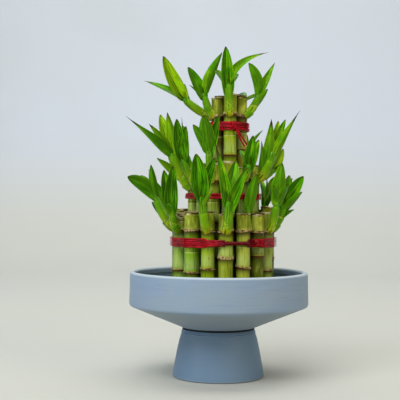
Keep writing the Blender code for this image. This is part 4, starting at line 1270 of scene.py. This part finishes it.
# %% A turn of wire, and a knot
def wind_strand(curve, line, whole, plan, lane, twist, draw):
    """One turn of the tie, in its lane of the band. Twist is how wide the band is at each angle."""
    waves = [(draw.choice((1, 2, 3)), draw.uniform(0, 6.3), draw.uniform(*WANDER)) for _ in range(2)]
    tall = (plan["band"] - WIRE_WIDTH / MM) * ((lane + 0.5) / plan["strands"] - 0.5)
    places = []
    for place, turn, gone in line:
        wander = sum(size * math.sin(2 * math.pi * n * gone / whole + phase) for n, phase, size in waves)
        wander *= plan["loose"]
        from_front = (math.degrees(turn) + 90 + 180) % 360 - 180
        left = read_off(twist, from_front)
        flat = Vector((LANE_OVER * (lane % 2 == 0) + 0.15 * abs(wander), (tall + wander) * left, 0))
        spin = 2 * math.pi * (gone / CORD_SPIN + lane / plan["strands"])
        spun = Vector((CORD_OUT + CORD_WIDE * math.cos(spin), CORD_TALL * math.sin(spin), 0))
        off = flat.lerp(spun, smooth(0.1, 1.0, (1.0 - left) / (1.0 - NARROWEST)))
        places.append(place + level_way(turn) * (off.x * MM) + UP * ((plan["height"] + off.y) * MM))
    lay_wire(curve, places, cyclic=True)


def tie_knot(curve, plan, middle, reach):
    """A coil across the band, and the wire's cut ends that stick out of it."""
    out = level_way(math.radians(plan["knot"] - 90))
    along = UP.cross(out)
    knot = middle + out * (reach + KNOT_OUT) + UP * (plan["height"] * MM)
    coil = []
    for share in [i / (COIL_POINTS - 1) for i in range(COIL_POINTS)]:
        way = turned(out * COIL_OUT, UP * (plan["knot_tall"] * MM), 2 * math.pi * COIL_TURNS * share)
        coil.append(knot + way + along * ((share - 0.5) * COIL_LONG))
    lay_wire(curve, coil)
    for end in plan["ends"]:
        near, far = (knot + along * (a * MM) + out * (o * MM) + UP * (z * MM) for a, o, z in end)
        first = knot + out * END_OUT
        lay_wire(curve, [bend(first, near, far, t / (END_POINTS - 1)) for t in range(END_POINTS)])


# %% Wind the ties
draw = random.Random(5)
for tier, plan in TIES.items():
    curve = bpy.data.curves.new("wire_" + tier, "CURVE")
    curve.dimensions = "3D"
    curve.bevel_depth = WIRE_WIDTH / 2
    curve.bevel_resolution = 3
    curve.use_fill_caps = True
    curve.materials.append(red_wire)
    line, whole = hull_line(tiers[tier], WIRE_WIDTH / 2 + TIE_GAP)
    for lane in range(plan["strands"]):
        wind_strand(curve, line, whole, plan, lane, TWIST if tier == "outer" else NO_TWIST, draw)
    middle = Vector((MIDDLES[tier], 0.0, 0.0))
    tie_knot(curve, plan, middle, max((c["axis"] - middle).length + c["radius"] for c in tiers[tier]))
    placed("red_wire_" + tier, curve, "tie", "tie_" + tier)
    print(tier, "tie:", plan["strands"], "turns of", round(whole / MM), "mm")

# %% [markdown]
# ## The stage
#
# A plant like this is shown on a pale sweep: a table that curves up into the wall behind it. The
# wall is far off, so that the plant can be looked at from behind as well, and a light of its own
# keeps it even. A big soft light stands high at the front left and a weaker, warmer one at the
# right. A small one, low on the left, models the bowl, and one hangs over the plant, so that the
# leaves shine through.

# %% Table and backdrop
SWEEP_WIDTH = 3.0
SWEEP_FRONT = -4.0
SWEEP_BACK = 1.9
SWEEP_BEND = 0.7
SWEEP_TOP = 2.6
SWEEP_UNDER = 0.2 * MM  # it lies a little under the foot, so the two don't share a face

paper, tree = finish_named("pale_paper_sweep", {"Roughness": 0.85, "Specular IOR Level": 0.2})
height = along_axis(tree, "Z")
clouds = (pattern(tree, 350 * MM, 2.0), 0.4, 0.8, 0.4)
dress(paper, coats(tree, "#c4c4b9", ("#c4c9ce", (height, 0.05, 0.36)), ("#bcbfba", clouds)))

line = [(SWEEP_FRONT, -SWEEP_UNDER), (0.0, -SWEEP_UNDER)]
line += arc((SWEEP_BACK - SWEEP_BEND, SWEEP_BEND - SWEEP_UNDER), SWEEP_BEND, -90, 0, 18)
line.append((SWEEP_BACK, SWEEP_TOP))
points = [Vector((x, y, z)) for y, z in line for x in (-SWEEP_WIDTH, SWEEP_WIDTH)]
faces = [(2 * i, 2 * i + 1, 2 * i + 3, 2 * i + 2) for i in range(len(line) - 1)]
sweep_mesh = bpy.data.meshes.new("sweep")
sweep_mesh.from_pydata(points, [], faces)
sweep_mesh.materials.append(paper)
sweep_mesh.shade_smooth()
sweep = in_scene("sweep", sweep_mesh)
print("faces in the sweep:", len(faces))

# %% Lights
PLANT_MIDDLE = (0.0, 0.0, 0.15)
LIGHTS = {  # place, target, size, power in watts, colour
    "key": ((-0.62, -1.25, 1.5), PLANT_MIDDLE, (1.5, 0.9), 27, "#f8fbff"),
    "fill": ((1.2, -1.1, 0.8), PLANT_MIDDLE, (0.9, 0.9), 8.2, "#ffecd2"),
    "side": ((-1.3, -0.7, 0.35), (0.0, 0.0, 0.05), (0.5, 0.5), 4.2, "#f0f6ff"),
    "top": ((0.05, 0.0, 1.5), (0.0, 0.3, 0.1), (1.6, 0.6), 9.5, "#ffffff"),
    "wall": ((0.0, 0.8, 1.8), (0.0, 2.2, 0.6), (2.4, 0.5), 25, "#f4f8ff"),
}
SKY_COLOUR, SKY_STRENGTH = "#dfe4e8", 0.22

for name, (place, target, size, power, colour) in LIGHTS.items():
    light = bpy.data.lights.new(name, "AREA")
    light.shape = "RECTANGLE"
    light.size, light.size_y = size
    light.energy = power
    light.color = linear(colour)[:3]
    facing = (Vector(place) - Vector(target)).to_track_quat("Z", "Y").to_matrix().to_4x4()
    in_scene(name, light).matrix_world = Matrix.Translation(place) @ facing
world = bpy.data.worlds.new("studio")
world.use_nodes = True
background = world.node_tree.nodes["Background"]
background.inputs["Color"].default_value = linear(SKY_COLOUR)
background.inputs["Strength"].default_value = SKY_STRENGTH
bpy.context.scene.world = world
bpy.context.scene.view_settings.view_transform = "Standard"
print("lights:", len(LIGHTS))
